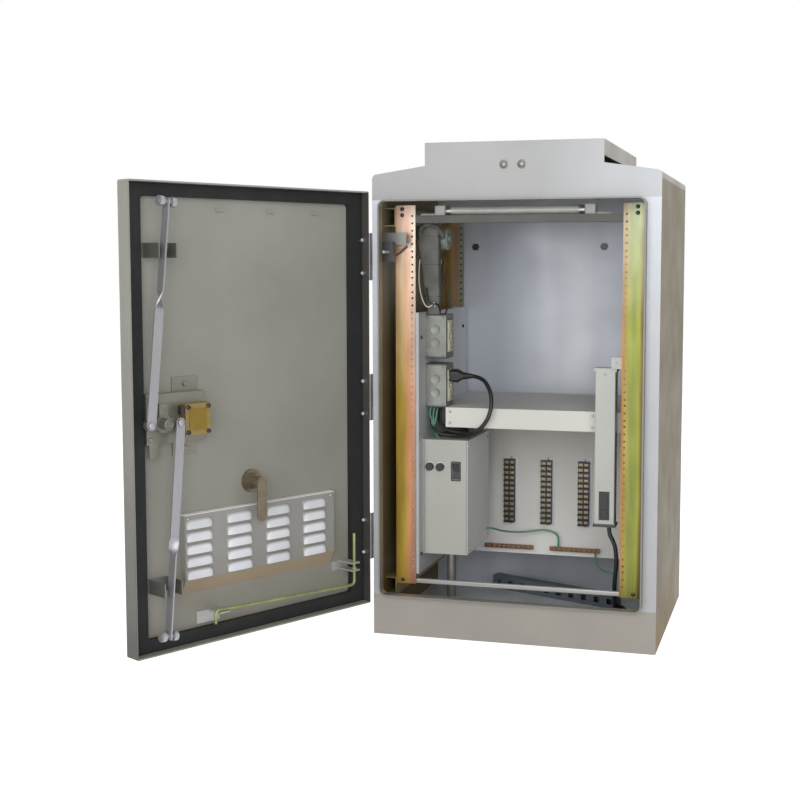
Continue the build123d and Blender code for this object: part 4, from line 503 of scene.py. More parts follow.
finishes = {
    "front_header": shell_paint,
    "front_stile_left": stile_paint,
    "front_stile_right": stile_paint,
    "front_sill": sill_paint,
    "opening_lip": lip_metal,
    "side_panel_left": side_sheet,
    "side_panel_right": side_sheet,
    "back_panel": wall_sheet,
    "floor_pan": floor_sheet,
    "roof_panel": roof_sheet,
    "roof_hood": roof_sheet,
    "shell_bolts": dark_fastener,
    "rack_rail_front_left": left_rail_zinc,
    "rack_rail_front_right": right_rail_zinc,
    "rack_rail_rear_left": rear_rail_zinc,
    "rack_rail_rear_right": right_rail_zinc,
    "rail_supports": support_zinc,
    "light_fixture": cream_light,
    "light_tube": lamp_glass,
    "side_plate": plate_sheet,
    "outlet_boxes": galvanised,
    "receptacles": socket_cream,
    "supply_plug": black_plastic,
    "power_leads": lead_rubber,
    "power_supply_case": supply_paint,
    "conduit": conduit_steel,
    "equipment_shelf": cream_shelf,
    "terminal_board": cream_board,
    "terminal_blocks": black_plastic,
    "bus_bars": copper,
    "earth_wires": wire_green,
    "power_strip": strip_plastic,
    "door_switch_bracket": guide_steel,
    "door_switch": switch_grey,
    "temperature_switch": sensor_grey,
    "lead_sleeve": sleeve_braid,
    "cable_duct": duct_black,
    "hinge_frame_leaves": hinge_steel,
    "door_pan": door_paint,
    "door_gasket": gasket_foam,
    "hinge_door_leaves": hinge_steel,
    "hinge_bolts": fastener_steel,
    "vent_cover": vent_paint,
    "rod_guides": guide_steel,
    "latch_case": case_steel,
    "lock_box": brass,
    "stay_brackets": bracket_steel,
    "latch_cam": cam_steel,
    "latch_handle": fastener_steel,
    "upper_rod": rod_zinc,
    "lower_rod": rod_zinc,
    "upper_rollers": roller_zinc,
    "lower_rollers": roller_zinc,
    "cam_lock": lock_bronze,
    "stay_rod": stay_zinc,
    "lock_bolt": dark_fastener,
    "fuse_cap_left": black_plastic,
    "fuse_cap_right": black_plastic,
    "rocker_switch": black_plastic,
    "switch_plunger": plunger_white,
}
for node_name, material in finishes.items():
    for slot in nodes[node_name].material_slots:
        slot.link = "OBJECT"
        slot.material = material


# Mesh helpers for the small fittings
SHARP_ANGLE = radians(38)


def facing(point, normal, turn=0.0):
    """Placement with local z along the normal, at a point."""
    basis = Vector(normal).normalized().to_track_quat("Z", "Y").to_matrix().to_4x4()
    return Matrix.Translation(point) @ basis @ Matrix.Rotation(turn, 4, "Z")


def on_front(x, y, z):
    """Placement in millimetres, facing the cabinet's front."""
    return facing(mm(x, y, z), FRONT)


def on_right(x, y, z):
    """Placement in millimetres, facing right."""
    return facing(mm(x, y, z), RIGHT)


def lathe(mesh, place, profile, steps):
    """A turned form from (radius, height) points in millimetres."""
    rings = []
    for radius, height in profile:
        ring = []
        for step in range(steps):
            angle = 2 * pi * step / steps
            point = mm(radius * cos(angle), radius * sin(angle), height)
            ring.append(mesh.verts.new(place @ point))
        rings.append(ring)
    for lower, upper in zip(rings, rings[1:]):
        for step in range(steps):
            after = (step + 1) % steps
            mesh.faces.new((lower[step], lower[after], upper[after], upper[step]))
    mesh.faces.new(list(reversed(rings[0])))
    mesh.faces.new(rings[-1])


def block(mesh, place, size, bevel):
    """A box in millimetres with softened edges, resting on the placement's plane."""
    x, y, z = size
    scaling = Matrix.Diagonal((x / 1000, y / 1000, z / 1000, 1))
    lift = Matrix.Translation((0, 0, z / 2000))
    made = bmesh.ops.create_cube(mesh, size=1.0, matrix=place @ lift @ scaling)
    edges = {edge for vert in made["verts"] for edge in vert.link_edges}
    bmesh.ops.bevel(mesh, geom=list(edges), offset=bevel / 1000, segments=2, affect="EDGES")


def hex_head(mesh, place, radius, height):
    """A chamfered hexagon head."""
    lathe(mesh, place, [(radius, 0), (radius, height * 0.75), (radius * 0.82, height)], 6)


def show(name, data):
    """Put new data in the scene."""
    made = bpy.data.objects.new(name, data)
    scene.collection.objects.link(made)
    return made


def attach(name, data, material, body="cabinet"):
    """Show a mesh or a curve, let it ride on its body and say what its finish is."""
    data.materials.append(material)
    made = show(name, data)
    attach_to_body(made, body)
    return made


def piece(name, mesh, material, body="cabinet"):
    """Finish a fitting: faces turned outwards, smooth up to its sharp edges."""
    bmesh.ops.recalc_face_normals(mesh, faces=mesh.faces)
    data = bpy.data.meshes.new(name)
    mesh.to_mesh(data)
    mesh.free()
    data.shade_smooth()
    data.set_sharp_from_angle(angle=SHARP_ANGLE)
    return attach(name, data, material, body)


def wire(name, radius, material, points):
    """A thin insulated wire held at both ends in the cabinet."""
    curve = bpy.data.curves.new(name, "CURVE")
    curve.dimensions = "3D"
    curve.bevel_depth = radius / 1000
    curve.bevel_resolution = 3
    curve.resolution_u = 8
    curve.use_fill_caps = True
    spline = curve.splines.new("NURBS")
    spline.points.add(len(points) - 1)
    for target, point in zip(spline.points, points):
        target.co = (*mm(*point), 1.0)
    spline.order_u = 3
    spline.use_endpoint_u = True
    attach(name, curve, material)


PAN_HEAD = [(1.0, 0.0), (1.0, 0.35), (0.9, 0.6), (0.62, 0.78), (0.3, 0.82), (0.26, 0.5)]


def pan_screws(name, places, radius, material, body="cabinet"):
    """Pan heads with a shallow recess."""
    mesh = bmesh.new()
    profile = [(r * radius, h * radius) for r, h in PAN_HEAD]
    for place in places:
        lathe(mesh, place, profile, 16)
    piece(name, mesh, material, body)


# Hood bolts: washers and domed heads over the plain studs
HOOD_BOLT_X = 18.8
HOOD_BOLT_Z = 1007.0
WASHER = [(9.6, 0), (9.6, 1.0), (9.0, 1.4), (7.6, 1.5)]
DOME = [(7.6, 1.4), (7.5, 2.6), (6.6, 4.6), (4.8, 5.9), (2.4, 6.5), (0.6, 6.7)]
header = Box("front_header")
mesh = bmesh.new()
for x in (-HOOD_BOLT_X, HOOD_BOLT_X):
    place = on_front(x, header.front, HOOD_BOLT_Z)
    lathe(mesh, place, WASHER, 28)
    lathe(mesh, place, DOME, 28)
piece("hood_bolt_heads", mesh, bolt_steel)

# Rear rail holes, in the same three-hole pattern as the front pair, drawn as flat dark discs: painted
# shade of the holes
RACK_UNIT = 44.45
RACK_UNITS = 18
UNIT_HOLES = (6.35, 22.225, 38.1)
FIRST_UNIT = 16.4
HOLE_INSET = 7.15
RACK_SHEET = 2.5
left_rail = Box("rack_rail_rear_left")
right_rail = Box("rack_rail_rear_right")
mesh = bmesh.new()
for hole_x in (left_rail.right - HOLE_INSET, right_rail.left + HOLE_INSET):
    for unit in range(RACK_UNITS):
        for hole in UNIT_HOLES:
            height = left_rail.bottom + FIRST_UNIT + unit * RACK_UNIT + hole
            place = on_front(hole_x, left_rail.back - RACK_SHEET, height)
            lathe(mesh, place, [(2.4, -0.2), (2.4, 0.12), (2.2, 0.16)], 12)
piece("rear_rail_holes", mesh, hole_dark)

# Outlet boxes: pry-outs and corner screws on the fronts, one pry-out on top of each
BOX_HEIGHT = 98.0
PRYOUT_OFFSET = 14.88
CORNER_INSET = (6.0, 7.0)
PRYOUT = [(11.5, -0.2), (11.5, 0.3), (11.1, 0.45), (10.6, 0.3), (10.2, 0.15), (1.5, 0.12)]
outlets = Box("outlet_boxes")
outlet_bottoms = (outlets.bottom, outlets.top - BOX_HEIGHT)
mesh = bmesh.new()
for bottom in outlet_bottoms:
    top = bottom + BOX_HEIGHT
    middle = bottom + BOX_HEIGHT / 2
    for offset in (-PRYOUT_OFFSET, PRYOUT_OFFSET):
        lathe(mesh, on_front(outlets.x, outlets.front, middle + offset), PRYOUT, 28)
    for x in (outlets.left + CORNER_INSET[0], outlets.right - CORNER_INSET[0]):
        for z in (bottom + CORNER_INSET[1], top - CORNER_INSET[1]):
            corner = on_front(x, outlets.front, z)
            lathe(mesh, corner, [(2.6, 0), (2.4, 1.2), (1.6, 1.8), (0.8, 1.9)], 14)
    lathe(mesh, facing(mm(outlets.x, outlets.y, top), UP), PRYOUT, 28)
piece("outlet_pryouts", mesh, galvanised)

# Receptacles: two round faces with a screw between them, and slots where no plug sits, drawn as dark
# marks: painted shade inside the slots
SOCKET_OFFSET = 19.0
SOCKET_RISE = 1.7
sockets = Box("receptacles")
plug = Box("supply_plug")
faces = bmesh.new()
slots = bmesh.new()
for bottom in outlet_bottoms:
    middle = bottom + BOX_HEIGHT / 2
    for offset in (-SOCKET_OFFSET, SOCKET_OFFSET):
        centre = middle + offset
        face = on_right(sockets.right, sockets.y, centre)
        lathe(faces, face, [(14.2, 0), (14.2, 1.0), (13.4, 1.6), (2.0, 1.7)], 28)
        if plug.bottom < centre < plug.top:
            continue
        slot_x = sockets.right + SOCKET_RISE
        for side, tall in ((-6.0, 9.0), (6.0, 7.5)):
            slot = on_right(slot_x, sockets.y + side, centre + 3.0)
            block(slots, slot, (1.4, tall, 0.25), 0.05)
        earth = on_right(slot_x, sockets.y, centre - 7.0)
        lathe(slots, earth, [(2.4, 0), (2.4, 0.2), (2.2, 0.25)], 14)
    screw = on_right(sockets.right, sockets.y, middle)
    lathe(faces, screw, [(3.0, 0), (2.8, 1.0), (1.8, 1.5), (0.6, 1.6)], 16)
piece("receptacle_faces", faces, socket_cream)
piece("receptacle_slots", slots, hole_dark)

# Plug: grip ribs and the ribbed strain relief over the lead
GRIP_START = 4.0
GRIP_PITCH = 4.2
RELIEF_PITCH = 3.4
mesh = bmesh.new()
for step in range(4):
    place = on_right(plug.left + GRIP_START + step * GRIP_PITCH, plug.y, plug.z)
    lathe(mesh, place, [(14.8, 0), (15.4, 0.6), (15.4, 1.6), (14.8, 2.2)], 28)
for step in range(6):
    rib = 8.2 - step * 0.55
    neck = rib - 1.2
    place = on_right(plug.right - 1.0 + step * RELIEF_PITCH, plug.y, plug.z)
    lathe(mesh, place, [(neck, 0), (rib, 0.5), (rib, 1.9), (neck, 2.5), (neck, 3.4)], 24)
piece("plug_ribs", mesh, black_plastic)

# Side plate screws: four on the plate, one on its front flange
plate = Box("side_plate")
plate_places = ((-157.0, 642.0), (205.0, 651.0), (-158.0, 160.0), (205.0, 160.0))
places = [on_right(plate.right, y, z) for y, z in plate_places]
places.append(on_front(-244.0, plate.front + RACK_SHEET, 300.0))
pan_screws("plate_screws", places, 4.2, dark_fastener)

# Terminal board screws: one below and one above every barrier strip, three along the top
STRIP_INSET = 13.25
strips = Box("terminal_blocks")
bars = Box("bus_bars")
strip_centres = (strips.left + STRIP_INSET, -1.5, strips.right - STRIP_INSET)
strip_screw_heights = (strips.bottom - 2.8, strips.top + 2.8)
places = [on_front(x + 3.0, strips.back, z) for x in strip_centres for z in strip_screw_heights]
places += [on_front(x, bars.back, 436.0) for x in (-60.0, 46.0, 150.0)]
pan_screws("board_screws", places, 2.6, fastener_steel)

# Shelf screws: two near each end of its front
shelf = Box("equipment_shelf")
places = [on_front(x, shelf.front, z) for x in (-166.0, 150.0) for z in (452.0, 477.0)]
pan_screws("shelf_screws", places, 3.2, fastener_steel)

# Barrier strips: two clamps with their screws in every way, and the walls between the ways
WAYS = 12
WALL = 2.0
STRIP_FACE = 7.0
CLAMP_OFFSET = 6.6
SLOT_TURN = 17
screws = bmesh.new()
clamps = bmesh.new()
barriers = bmesh.new()
strip_y = strips.front + STRIP_FACE
way_pitch = (strips.top - strips.bottom - WALL) / WAYS
for x in strip_centres:
    for way in range(WAYS):
        height = strips.bottom + (WALL + way_pitch) / 2 + way * way_pitch
        for offset in (-CLAMP_OFFSET, CLAMP_OFFSET):
            screw = facing(mm(x + offset, strip_y, height), FRONT, radians(SLOT_TURN * way))
            lathe(screws, screw, [(3.0, 0.5), (3.0, 2.2), (2.6, 3.0), (1.2, 3.2), (1.0, 2.4)], 14)
            block(clamps, on_front(x + offset, strip_y, height), (9.6, 6.6, 1.2), 0.3)
        wall = on_front(x, strip_y, height - way_pitch / 2)
        block(barriers, wall, (25.0, 2.4, 4.4), 0.4)
    block(barriers, on_front(x, strip_y, strips.z), (2.4, 149.0, 4.4), 0.4)
piece("terminal_screws", screws, terminal_brass)
piece("terminal_clamps", clamps, terminal_brass)
piece("terminal_barriers", barriers, black_plastic)

# Bus bar screws: one row along each copper bar
BAR_HALF_LENGTH = 60.0
BAR_SCREW_PITCH = 12.0
bar_centres = (bars.left + BAR_HALF_LENGTH, bars.right - BAR_HALF_LENGTH)
bar_screws_x = [x + step * BAR_SCREW_PITCH for x in bar_centres for step in range(-4, 5)]
places = [on_front(x, bars.front, bars.z) for x in bar_screws_x]
pan_screws("bus_bar_screws", places, 3.4, terminal_brass)

# Power supply: cover seams with a rivet on the side, rings round the fuse caps, the switch's
# bezel and the cover's screws
SEAM_INSET = 3.2
supply = Box("power_supply_case")
mesh = bmesh.new()
for x in (supply.left + SEAM_INSET, supply.right - SEAM_INSET):
    block(mesh, on_front(x, supply.front, supply.z), (0.7, 250.0, 0.25), 0.08)
block(mesh, on_right(supply.right, supply.front + 8.0, supply.z), (0.7, 0.7, 0.25), 0.05)
piece("supply_seams", mesh, hole_dark)

mesh = bmesh.new()
for cap in (Box("fuse_cap_left"), Box("fuse_cap_right")):
    place = on_front(cap.x, supply.front, cap.z)
    lathe(mesh, place, [(10.6, 0), (10.6, 0.3), (10.2, 0.38), (9.4, 0.38)], 28)
piece("fuse_rings", mesh, fastener_steel)

BEZEL_HALF = (10.1, 20.6)
rocker = Box("rocker_switch")
mesh = bmesh.new()
for side in (1, -1):
    level = on_front(rocker.x, supply.front, rocker.z + side * BEZEL_HALF[1])
    block(mesh, level, (21.0, 2.4, 1.5), 0.5)
for side in (-1, 1):
    upright = on_front(rocker.x + side * BEZEL_HALF[0], supply.front, rocker.z)
    block(mesh, upright, (2.2, 41.0, 1.5), 0.5)
piece("rocker_bezel", mesh, black_plastic)

cover_screws_y = (supply.front + 16.0, supply.back - 14.0)
cover_screws_z = (supply.bottom + 13.0, supply.top - 13.0)
places = [on_right(supply.right, y, z) for y in cover_screws_y for z in cover_screws_z]
pan_screws("supply_screws", places, 2.8, fastener_steel)

# Power strip: the dark switch in its window with its frame, and a screw at the top and in the ear
HOUSING_X = 182.5
WINDOW_Y = -163.0
strip = Box("power_strip")
mesh = bmesh.new()
block(mesh, on_front(HOUSING_X, WINDOW_Y, 289.0), (22.4, 61.4, 1.2), 0.4)
block(mesh, on_front(HOUSING_X, WINDOW_Y - 1.0, 300.0), (14.0, 24.0, 2.2), 0.8)
block(mesh, on_front(HOUSING_X, WINDOW_Y - 1.0, 273.0), (14.0, 16.0, 1.2), 0.6)
piece("strip_switch", mesh, black_plastic)
places = [on_front(HOUSING_X, WINDOW_Y - 2.0, 570.0), on_front(206.0, strip.front, 596.0)]
pan_screws("strip_screws", places, 2.6, fastener_steel)

# Lamp: a metal cap on each end of the tube
tube = Box("light_tube")
mesh = bmesh.new()
for end, inwards in ((tube.left, RIGHT), (tube.right, -RIGHT)):
    place = facing(mm(end, tube.y, tube.z), inwards)
    lathe(mesh, place, [(9.3, 0), (9.5, 0.6), (9.5, 11.0), (9.2, 12.0)], 28)
piece("lamp_caps", mesh, fastener_steel)

# Rail fixings: large screws at the front rails' ends
RAIL_SCREW_INSET = 15.4
left_rail = Box("rack_rail_front_left")
right_rail = Box("rack_rail_front_right")
rail_screws_x = (left_rail.left + RAIL_SCREW_INSET, right_rail.right - RAIL_SCREW_INSET)
rail_screws_z = (left_rail.bottom + 8.5, left_rail.top - 20.9, left_rail.top - 7.9)
places = [on_front(x, left_rail.front, z) for x in rail_screws_x for z in rail_screws_z]
pan_screws("rail_screws", places, 4.4, dark_fastener)

# Leads round the sleeve and the outlet boxes
wire("white_lead", 1.6, wire_white, [
    (-238, -124, 812), (-240, -128, 784), (-237, -132, 752), (-229, -136, 722),
    (-218, -136, 706), (-207, -130, 712), (-203, -124, 722), (-206, -116, 700),
])
wire("black_lead", 1.8, lead_rubber, [
    (-222, -126, 750), (-219, -134, 728), (-208, -138, 714), (-196, -134, 716),
    (-192, -122, 708), (-196, -112, 694),
])
wire("hanging_lead", 1.8, lead_rubber, [
    (-192, -80, 834), (-196, -90, 806), (-192, -98, 772), (-182, -100, 744),
    (-178, -98, 718), (-184, -94, 702), (-188, -93, 692),
])
wire("upper_hose", 5.5, sleeve_braid, [
    (-236, -120, 856), (-238, -128, 872), (-230, -134, 886), (-214, -132, 890),
    (-200, -122, 884), (-194, -108, 872), (-192, -96, 860),
])

# Leads that run from the door switch to the rail, with the clip that holds them there
SWITCH_LEADS = (("switch_lead_pink", wire_pink, 0.0), ("switch_lead_black", lead_rubber, -5.0))
for name, material, low in SWITCH_LEADS:
    wire(name, 1.4, material, [
        (-290, -196, 818 + low), (-282, -192, 820 + low), (-272, -186, 827 + low),
        (-262, -182, 834 + low), (-254, -180, 840 + low * 0.6), (-247, -179, 844 + low * 0.4),
    ])
mesh = bmesh.new()
block(mesh, on_front(-246.0, left_rail.front, 843.0), (9.0, 9.0, 3.6), 0.8)
piece("switch_lead_clip", mesh, wire_white)

# Leads that lie on the power supply and rise to the lower outlet box
LEAD_STARTS = ((-212, -120, 0), (-196, -104, 5), (-204, -88, 9))
for step, (x, y, rise) in enumerate(LEAD_STARTS):
    wire(f"supply_top_lead_{step}", 3.2, lead_rubber, [
        (x, y + 8, 483), (x - 2, y + 4, 462), (x + 2, y - 8, 440 + rise),
        (x + 18, y - 14, 428 + rise), (x + 44, y - 12, 424 + rise), (x + 66, y + 4, 423 + rise),
        (x + 56, y + 24, 422 + rise), (x + 26, y + 22, 424 + rise), (x + 8, y + 34, 420),
        (x + 4, y + 36, 414),
    ])
for step in range(3):
    wire(f"box_earth_{step}", 1.7, wire_green, [
        (-214 + 7 * step, -118 + 4 * step, 484), (-217 + 8 * step, -124 + 3 * step, 470),
        (-208 + 3 * step, -128, 458 - 4 * step), (-212 + 2 * step, -124, 440),
        (-206 + 2 * step, -112, 424), (-202 + 2 * step, -106, 414),
    ])

# Leads of the temperature switch and of the door switch's own case
wire("sensor_lead", 1.8, wire_white, [
    (-196, -72, 834), (-196, -72, 822), (-200, -84, 806), (-206, -98, 796), (-210, -106, 790),
])
wire("switch_lead_red", 1.2, wire_red, [
    (-288, -206, 830), (-290, -198, 822), (-288, -188, 828), (-284, -182, 840),
    (-286, -178, 856), (-294, -176, 866), (-301, -176, 868),
])

# Temperature switch: dial ring and centre boss
DIAL_RADIUS = 26.0
sensor = Box("temperature_switch")
mesh = bmesh.new()
place = on_right(sensor.right, sensor.y, sensor.bottom + DIAL_RADIUS)
lathe(mesh, place, [(22.0, 0), (22.0, 0.8), (21.0, 1.2), (19.5, 0.8), (19.0, 0.3), (2, 0.2)], 40)
lathe(mesh, place, [(7.5, 0.2), (7.2, 3.0), (6.0, 4.0), (3.0, 4.2), (0.8, 4.2)], 24)
piece("sensor_dial", mesh, sensor_grey)

# Sleeve ties: they follow the sleeve, which grows from its foot to its head
SLEEVE_Y = -112.0
SLEEVE_HEIGHT = 192.0
FOOT_CENTRE_X = -208.0
HEAD_CENTRE_X = -223.0
FOOT_SIZE = (28.0, 16.0)
HEAD_SIZE = (54.0, 24.0)
TIE_STAND = 1.6
sleeve = Box("lead_sleeve")
mesh = bmesh.new()
for height in (862.0, 800.0, 730.0):
    share = (height - sleeve.bottom) / SLEEVE_HEIGHT
    centre = FOOT_CENTRE_X + share * (HEAD_CENTRE_X - FOOT_CENTRE_X)
    wide, deep = (
        foot + share * (head - foot) + TIE_STAND for foot, head in zip(FOOT_SIZE, HEAD_SIZE)
    )
    block(mesh, facing(mm(centre, SLEEVE_Y, height), UP), (wide, deep, 3.0), 1.2)
piece("sleeve_ties", mesh, black_plastic)


# Door fittings
door_turn = Matrix((-DOOR_U, DOOR_W, UP)).transposed().to_4x4()


def on_door(u, v, w):
    """Placement on the door's inner side, facing inwards."""
    return facing(door_point(u, v, w), -DOOR_W)


def along_door(u, v, w):
    """Placement on the door with its sides along the door's own directions."""
    return Matrix.Translation(door_point(u, v, w)) @ door_turn


# Tabs along the top, bolts of the latch case and its flanges
mesh = bmesh.new()
for u in (371.0, 246.0, 130.0):
    block(mesh, along_door(u, 903.0, 27.0), (16.0, 6.0, 5.0), 0.8)
piece("door_tabs", mesh, door_paint, "door")

CASE_FACE_W = 12.5
FLANGE_FACE_W = 27.5
case_bolts = ((545.0, 553.5, CASE_FACE_W), (545.0, 477.0, CASE_FACE_W))
flange_bolts = ((457.0, 576.0, FLANGE_FACE_W), (459.0, 454.0, FLANGE_FACE_W))
mesh = bmesh.new()
for u, v, w in case_bolts + flange_bolts:
    hex_head(mesh, on_door(u, v, w), 5.2, 4.0)
piece("latch_case_bolts", mesh, bolt_steel, "door")

# Lock box: a brass lid with a screw in each corner
LOCK_FACE_W = -10.0
mesh = bmesh.new()
block(mesh, along_door(454.0, 490.0, LOCK_FACE_W - 0.4), (40.0, 0.9, 42.0), 0.3)
piece("lock_lid", mesh, lid_brass, "door")
places = [on_door(u, v, LOCK_FACE_W) for u in (430.0, 476.0) for v in (487.0, 535.0)]
pan_screws("lock_screws", places, 4.4, dark_fastener, "door")

# Vent cover: a folded sheet box, open behind, with pressed hoods over its slots in rows and columns
VENT_U = (90.0, 470.0)
VENT_FOOT_V = 168.0
VENT_FOLD_V = 197.0
VENT_TOP_V = 325.0
VENT_FACE_W = 16.0
VENT_BACK_W = 30.0
VENT_SHEET = 1.5
VENT_INNER_W = VENT_FACE_W + VENT_SHEET
HOOD_CENTRES_U = [145.5 + 97.2 * column for column in range(4)]
HOOD_FEET_V = [199.5 + 24.4 * row for row in range(5)]
HOOD_HALF_WIDTH = 31.0
HOOD_HEIGHT = 20.0
HOOD_STAND = 6.0
HOOD_STEPS_ACROSS = 18
HOOD_STEPS_DOWN = 9
SLOT_HALF_WIDTH = 27.0
SLOT_V = (1.5, 11.0)


def prism(mesh, outline, direction):
    """A flat sheet of the vent cover from its (u, v, w) outline, thickened along a direction."""
    offset = direction * VENT_SHEET / 1000
    near = [mesh.verts.new(door_point(*corner)) for corner in outline]
    far = [mesh.verts.new(door_point(*corner) + offset) for corner in outline]
    mesh.faces.new(near)
    mesh.faces.new(list(reversed(far)))
    for step, corner in enumerate(near):
        after = (step + 1) % len(near)
        mesh.faces.new((corner, far[step], far[after], near[after]))


def pierced_plate(mesh):
    """The front of the vent cover, with a slot under every hood."""
    slot_edges_u = [u + side * SLOT_HALF_WIDTH for u in HOOD_CENTRES_U for side in (-1, 1)]
    slot_edges_v = [foot + edge for foot in HOOD_FEET_V for edge in SLOT_V]
    across = sorted((*VENT_U, *slot_edges_u))
    upwards = sorted((VENT_FOLD_V, VENT_TOP_V, *slot_edges_v))
    front, back = (
        [[mesh.verts.new(door_point(u, v, w)) for v in upwards] for u in across]
        for w in (VENT_FACE_W, VENT_INNER_W)
    )

    def solid(i, j):
        """Whether a cell is sheet. Cells go plain, slot, plain in both directions."""
        inside = 0 <= i < len(across) - 1 and 0 <= j < len(upwards) - 1
        return inside and not (i % 2 and j % 2)

    for i in range(len(across) - 1):
        for j in range(len(upwards) - 1):
            if not solid(i, j):
                continue
            corners = ((i, j), (i + 1, j), (i + 1, j + 1), (i, j + 1))
            neighbours = ((i, j - 1), (i + 1, j), (i, j + 1), (i - 1, j))
            for layer in (front, back):
                mesh.faces.new([layer[a][b] for a, b in corners])
            for (a, b), (c, d), neighbour in zip(corners, corners[1:] + corners[:1], neighbours):
                if not solid(*neighbour):
                    mesh.faces.new((front[a][b], front[c][d], back[c][d], back[a][b]))


def hood_skin(mesh, centre_u, foot_v, share, sink):
    """One face of a hood: a share of its stand, sunk a little behind the face of the cover."""
    skin = []
    for i in range(HOOD_STEPS_ACROSS + 1):
        s = -cos(pi * i / HOOD_STEPS_ACROSS)
        end = max(0.0, 1 - abs(s) ** 6) ** 0.5
        head = HOOD_HEIGHT - 4.0 * abs(s) ** 8
        row = []
        for j in range(HOOD_STEPS_DOWN + 1):
            t = j / HOOD_STEPS_DOWN
            stand = HOOD_STAND * end * sin(min(t * 1.15, 1.0) * pi / 2) ** 0.75
            u = centre_u + s * HOOD_HALF_WIDTH
            v = foot_v + head * (1 - t)
            row.append(mesh.verts.new(door_point(u, v, VENT_FACE_W - stand * share + sink)))
        skin.append(row)
    return skin


def pressed_hood(mesh, centre_u, foot_v):
    """One hood: closed at its head and ends, open at its foot."""
    outer = hood_skin(mesh, centre_u, foot_v, 1.0, 0.0)
    inner = hood_skin(mesh, centre_u, foot_v, 0.8, 0.3)
    for i in range(HOOD_STEPS_ACROSS):
        for j in range(HOOD_STEPS_DOWN):
            for skin in (outer, inner):
                mesh.faces.new((skin[i][j], skin[i + 1][j], skin[i + 1][j + 1], skin[i][j + 1]))
        for j in (0, HOOD_STEPS_DOWN):
            mesh.faces.new((outer[i][j], outer[i + 1][j], inner[i + 1][j], inner[i][j]))
    for i in (0, HOOD_STEPS_ACROSS):
        for j in range(HOOD_STEPS_DOWN):
            mesh.faces.new((outer[i][j], outer[i][j + 1], inner[i][j + 1], inner[i][j]))


def level_sheet(start, end):
    """Outline of a sheet as wide as the vent cover, between two (v, w) places."""
    return [(VENT_U[0], *start), (VENT_U[1], *start), (VENT_U[1], *end), (VENT_U[0], *end)]


mesh = bmesh.new()
pierced_plate(mesh)
fold_normal = UP * 0.43 + DOOR_W * 0.9
prism(mesh, level_sheet((VENT_FOOT_V, VENT_BACK_W), (VENT_FOLD_V, VENT_FACE_W)), fold_normal)
prism(mesh, level_sheet((VENT_TOP_V, VENT_INNER_W), (VENT_TOP_V, VENT_BACK_W)), -UP)
cheek_top_v = VENT_TOP_V - VENT_SHEET
cheek = [(VENT_FOOT_V + 2.0, VENT_BACK_W), (VENT_FOLD_V, VENT_INNER_W)]
cheek += [(cheek_top_v, VENT_INNER_W), (cheek_top_v, VENT_BACK_W)]
for end_u, inwards in zip(VENT_U, (DOOR_U, -DOOR_U)):
    prism(mesh, [(end_u, v, w) for v, w in cheek], inwards)
for centre_u in HOOD_CENTRES_U:
    for foot_v in HOOD_FEET_V:
        pressed_hood(mesh, centre_u, foot_v)
vent_sheet = piece("vent_cover_sheet", mesh, vent_paint, "door")
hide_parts("vent_cover")
places = [on_door(u, 317.0, VENT_FACE_W) for u in (98.0, 280.0, 462.0)]
pan_screws("vent_screws", places, 3.0, fastener_steel, "door")

# Cam: a recess ring on its hub and heads on its two pins
CAM_U = 529.0
CAM_V = 508.0
PIN_OFFSET = 32.3
mesh = bmesh.new()
hub = on_door(CAM_U, CAM_V, -24.0)
lathe(mesh, hub, [(10.3, 0), (10.3, 1.2), (9.4, 2.0), (7.6, 2.0), (7.0, 0.4), (2.0, 0.2)], 28)
piece("hub_ring", mesh, cam_steel, "latch")

mesh = bmesh.new()
for offset in (-PIN_OFFSET, PIN_OFFSET):
    pin = on_door(CAM_U + offset, CAM_V, -18.5)
    lathe(mesh, pin, [(6.8, 0), (6.6, 0.8), (5.0, 1.8), (2.4, 2.2), (0.6, 2.3)], 24)
piece("pin_heads", mesh, roller_zinc, "latch")


# Stage: a white floor and world. They are full white where they are seen, straight or in a
# reflection, and softer where they light the cabinet.
def seen_rays(tree):
    """1 for camera, glossy and transmission rays, 0 for the others."""
    rays = tree.nodes.new("ShaderNodeLightPath").outputs
    value = rays["Is Camera Ray"]
    for kind in ("Is Glossy Ray", "Is Transmission Ray"):
        either = tree.nodes.new("ShaderNodeMath")
        either.operation = "MAXIMUM"
        tree.links.new(value, either.inputs[0])
        tree.links.new(rays[kind], either.inputs[1])
        value = either.outputs[0]
    return value


def seen_strength(tree, unseen, seen):
    """One strength for the rays that are seen and another for the rest."""
    level = tree.nodes.new("ShaderNodeMapRange")
    level.inputs["To Min"].default_value = unseen
    level.inputs["To Max"].default_value = seen
    tree.links.new(seen_rays(tree), level.inputs["Value"])
    return level.outputs["Result"]


FULL_WHITE = (1.0, 1.0, 1.0, 1.0)
floor_mesh = bmesh.new()
bmesh.ops.create_grid(floor_mesh, x_segments=1, y_segments=1, size=30.0)
floor_data = bpy.data.meshes.new("floor")
floor_mesh.to_mesh(floor_data)
floor_mesh.free()
floor = show("floor", floor_data)
floor.location = (0.0, 0.0, -0.0005)

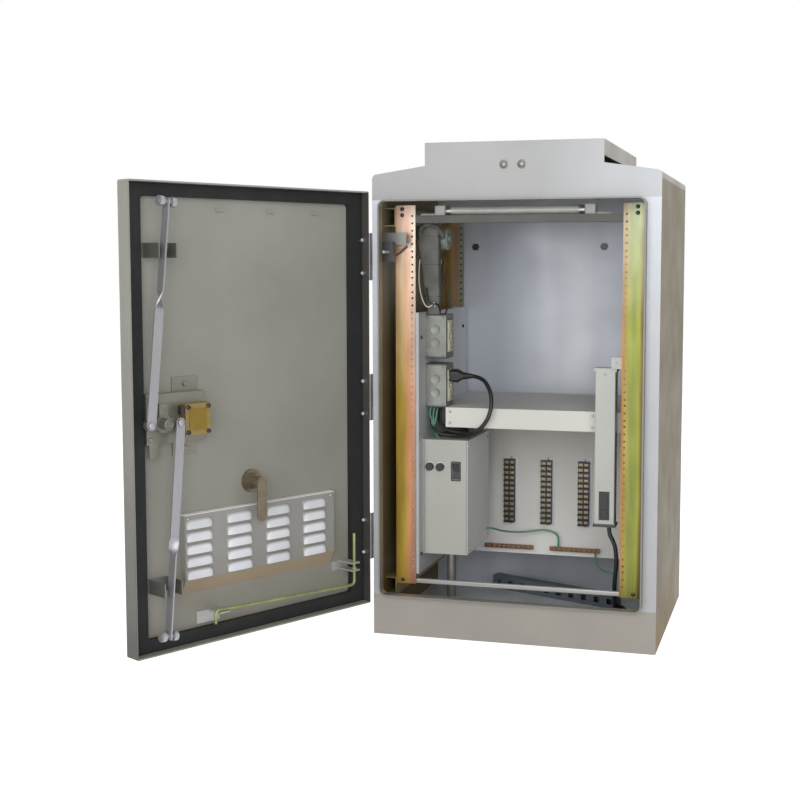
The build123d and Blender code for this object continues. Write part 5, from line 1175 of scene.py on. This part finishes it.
floor_material = bpy.data.materials.new("floor_white")
floor_material.use_nodes = True
tree = floor_material.node_tree
tree.nodes.remove(tree.nodes["Principled BSDF"])
diffuse = tree.nodes.new("ShaderNodeBsdfDiffuse")
diffuse.inputs["Color"].default_value = (0.82, 0.82, 0.82, 1.0)
glow = tree.nodes.new("ShaderNodeEmission")
glow.inputs["Color"].default_value = FULL_WHITE
tree.links.new(seen_strength(tree, 0.0, 0.8), glow.inputs["Strength"])
both = tree.nodes.new("ShaderNodeAddShader")
tree.links.new(diffuse.outputs[0], both.inputs[0])
tree.links.new(glow.outputs[0], both.inputs[1])
tree.links.new(both.outputs[0], tree.nodes["Material Output"].inputs["Surface"])
floor_data.materials.append(floor_material)

world = bpy.data.worlds.new("studio")
scene.world = world
world.use_nodes = True
background = world.node_tree.nodes["Background"]
background.inputs["Color"].default_value = FULL_WHITE
strength = seen_strength(world.node_tree, 0.28, 1.0)
world.node_tree.links.new(strength, background.inputs["Strength"])


# Light
def area_light(name, place, target, size, power):
    """A soft square lamp aimed at a point."""
    data = bpy.data.lights.new(name, "AREA")
    data.shape = "SQUARE"
    data.size = size
    data.energy = power
    lamp = show(name, data)
    lamp.location = place
    lamp.rotation_euler = (Vector(target) - Vector(place)).to_track_quat("-Z", "Y").to_euler()


area_light("key_light", (1.5, -4.0, 1.5), (0.0, 0.0, 0.5), 2.6, 54.0)
area_light("fill_light", (-0.7, -4.3, 1.3), (0.0, 0.0, 0.5), 2.6, 54.0)
area_light("top_light", (0.2, -0.8, 4.0), (0.0, 0.0, 0.8), 2.4, 22.0)
area_light("rear_light", (-1.2, 4.0, 2.4), (0.0, 0.0, 0.5), 2.6, 60.0)

# Camera: it stands where the photo's camera stood
TILT_DOWN = 4.985
TURN = 15.659
camera_data = bpy.data.cameras.new("camera")
camera_data.sensor_width = 36.0
camera_data.lens = 59.42
camera_data.shift_x = -0.05
camera_data.shift_y = -0.026
camera_data.clip_end = 200.0
camera = show("camera", camera_data)
camera.location = (0.5961, -2.9349, 0.8025)
camera.rotation_euler = (radians(90.0 - TILT_DOWN), 0.0, radians(TURN))
scene.camera = camera
scene.view_settings.view_transform = "Standard"
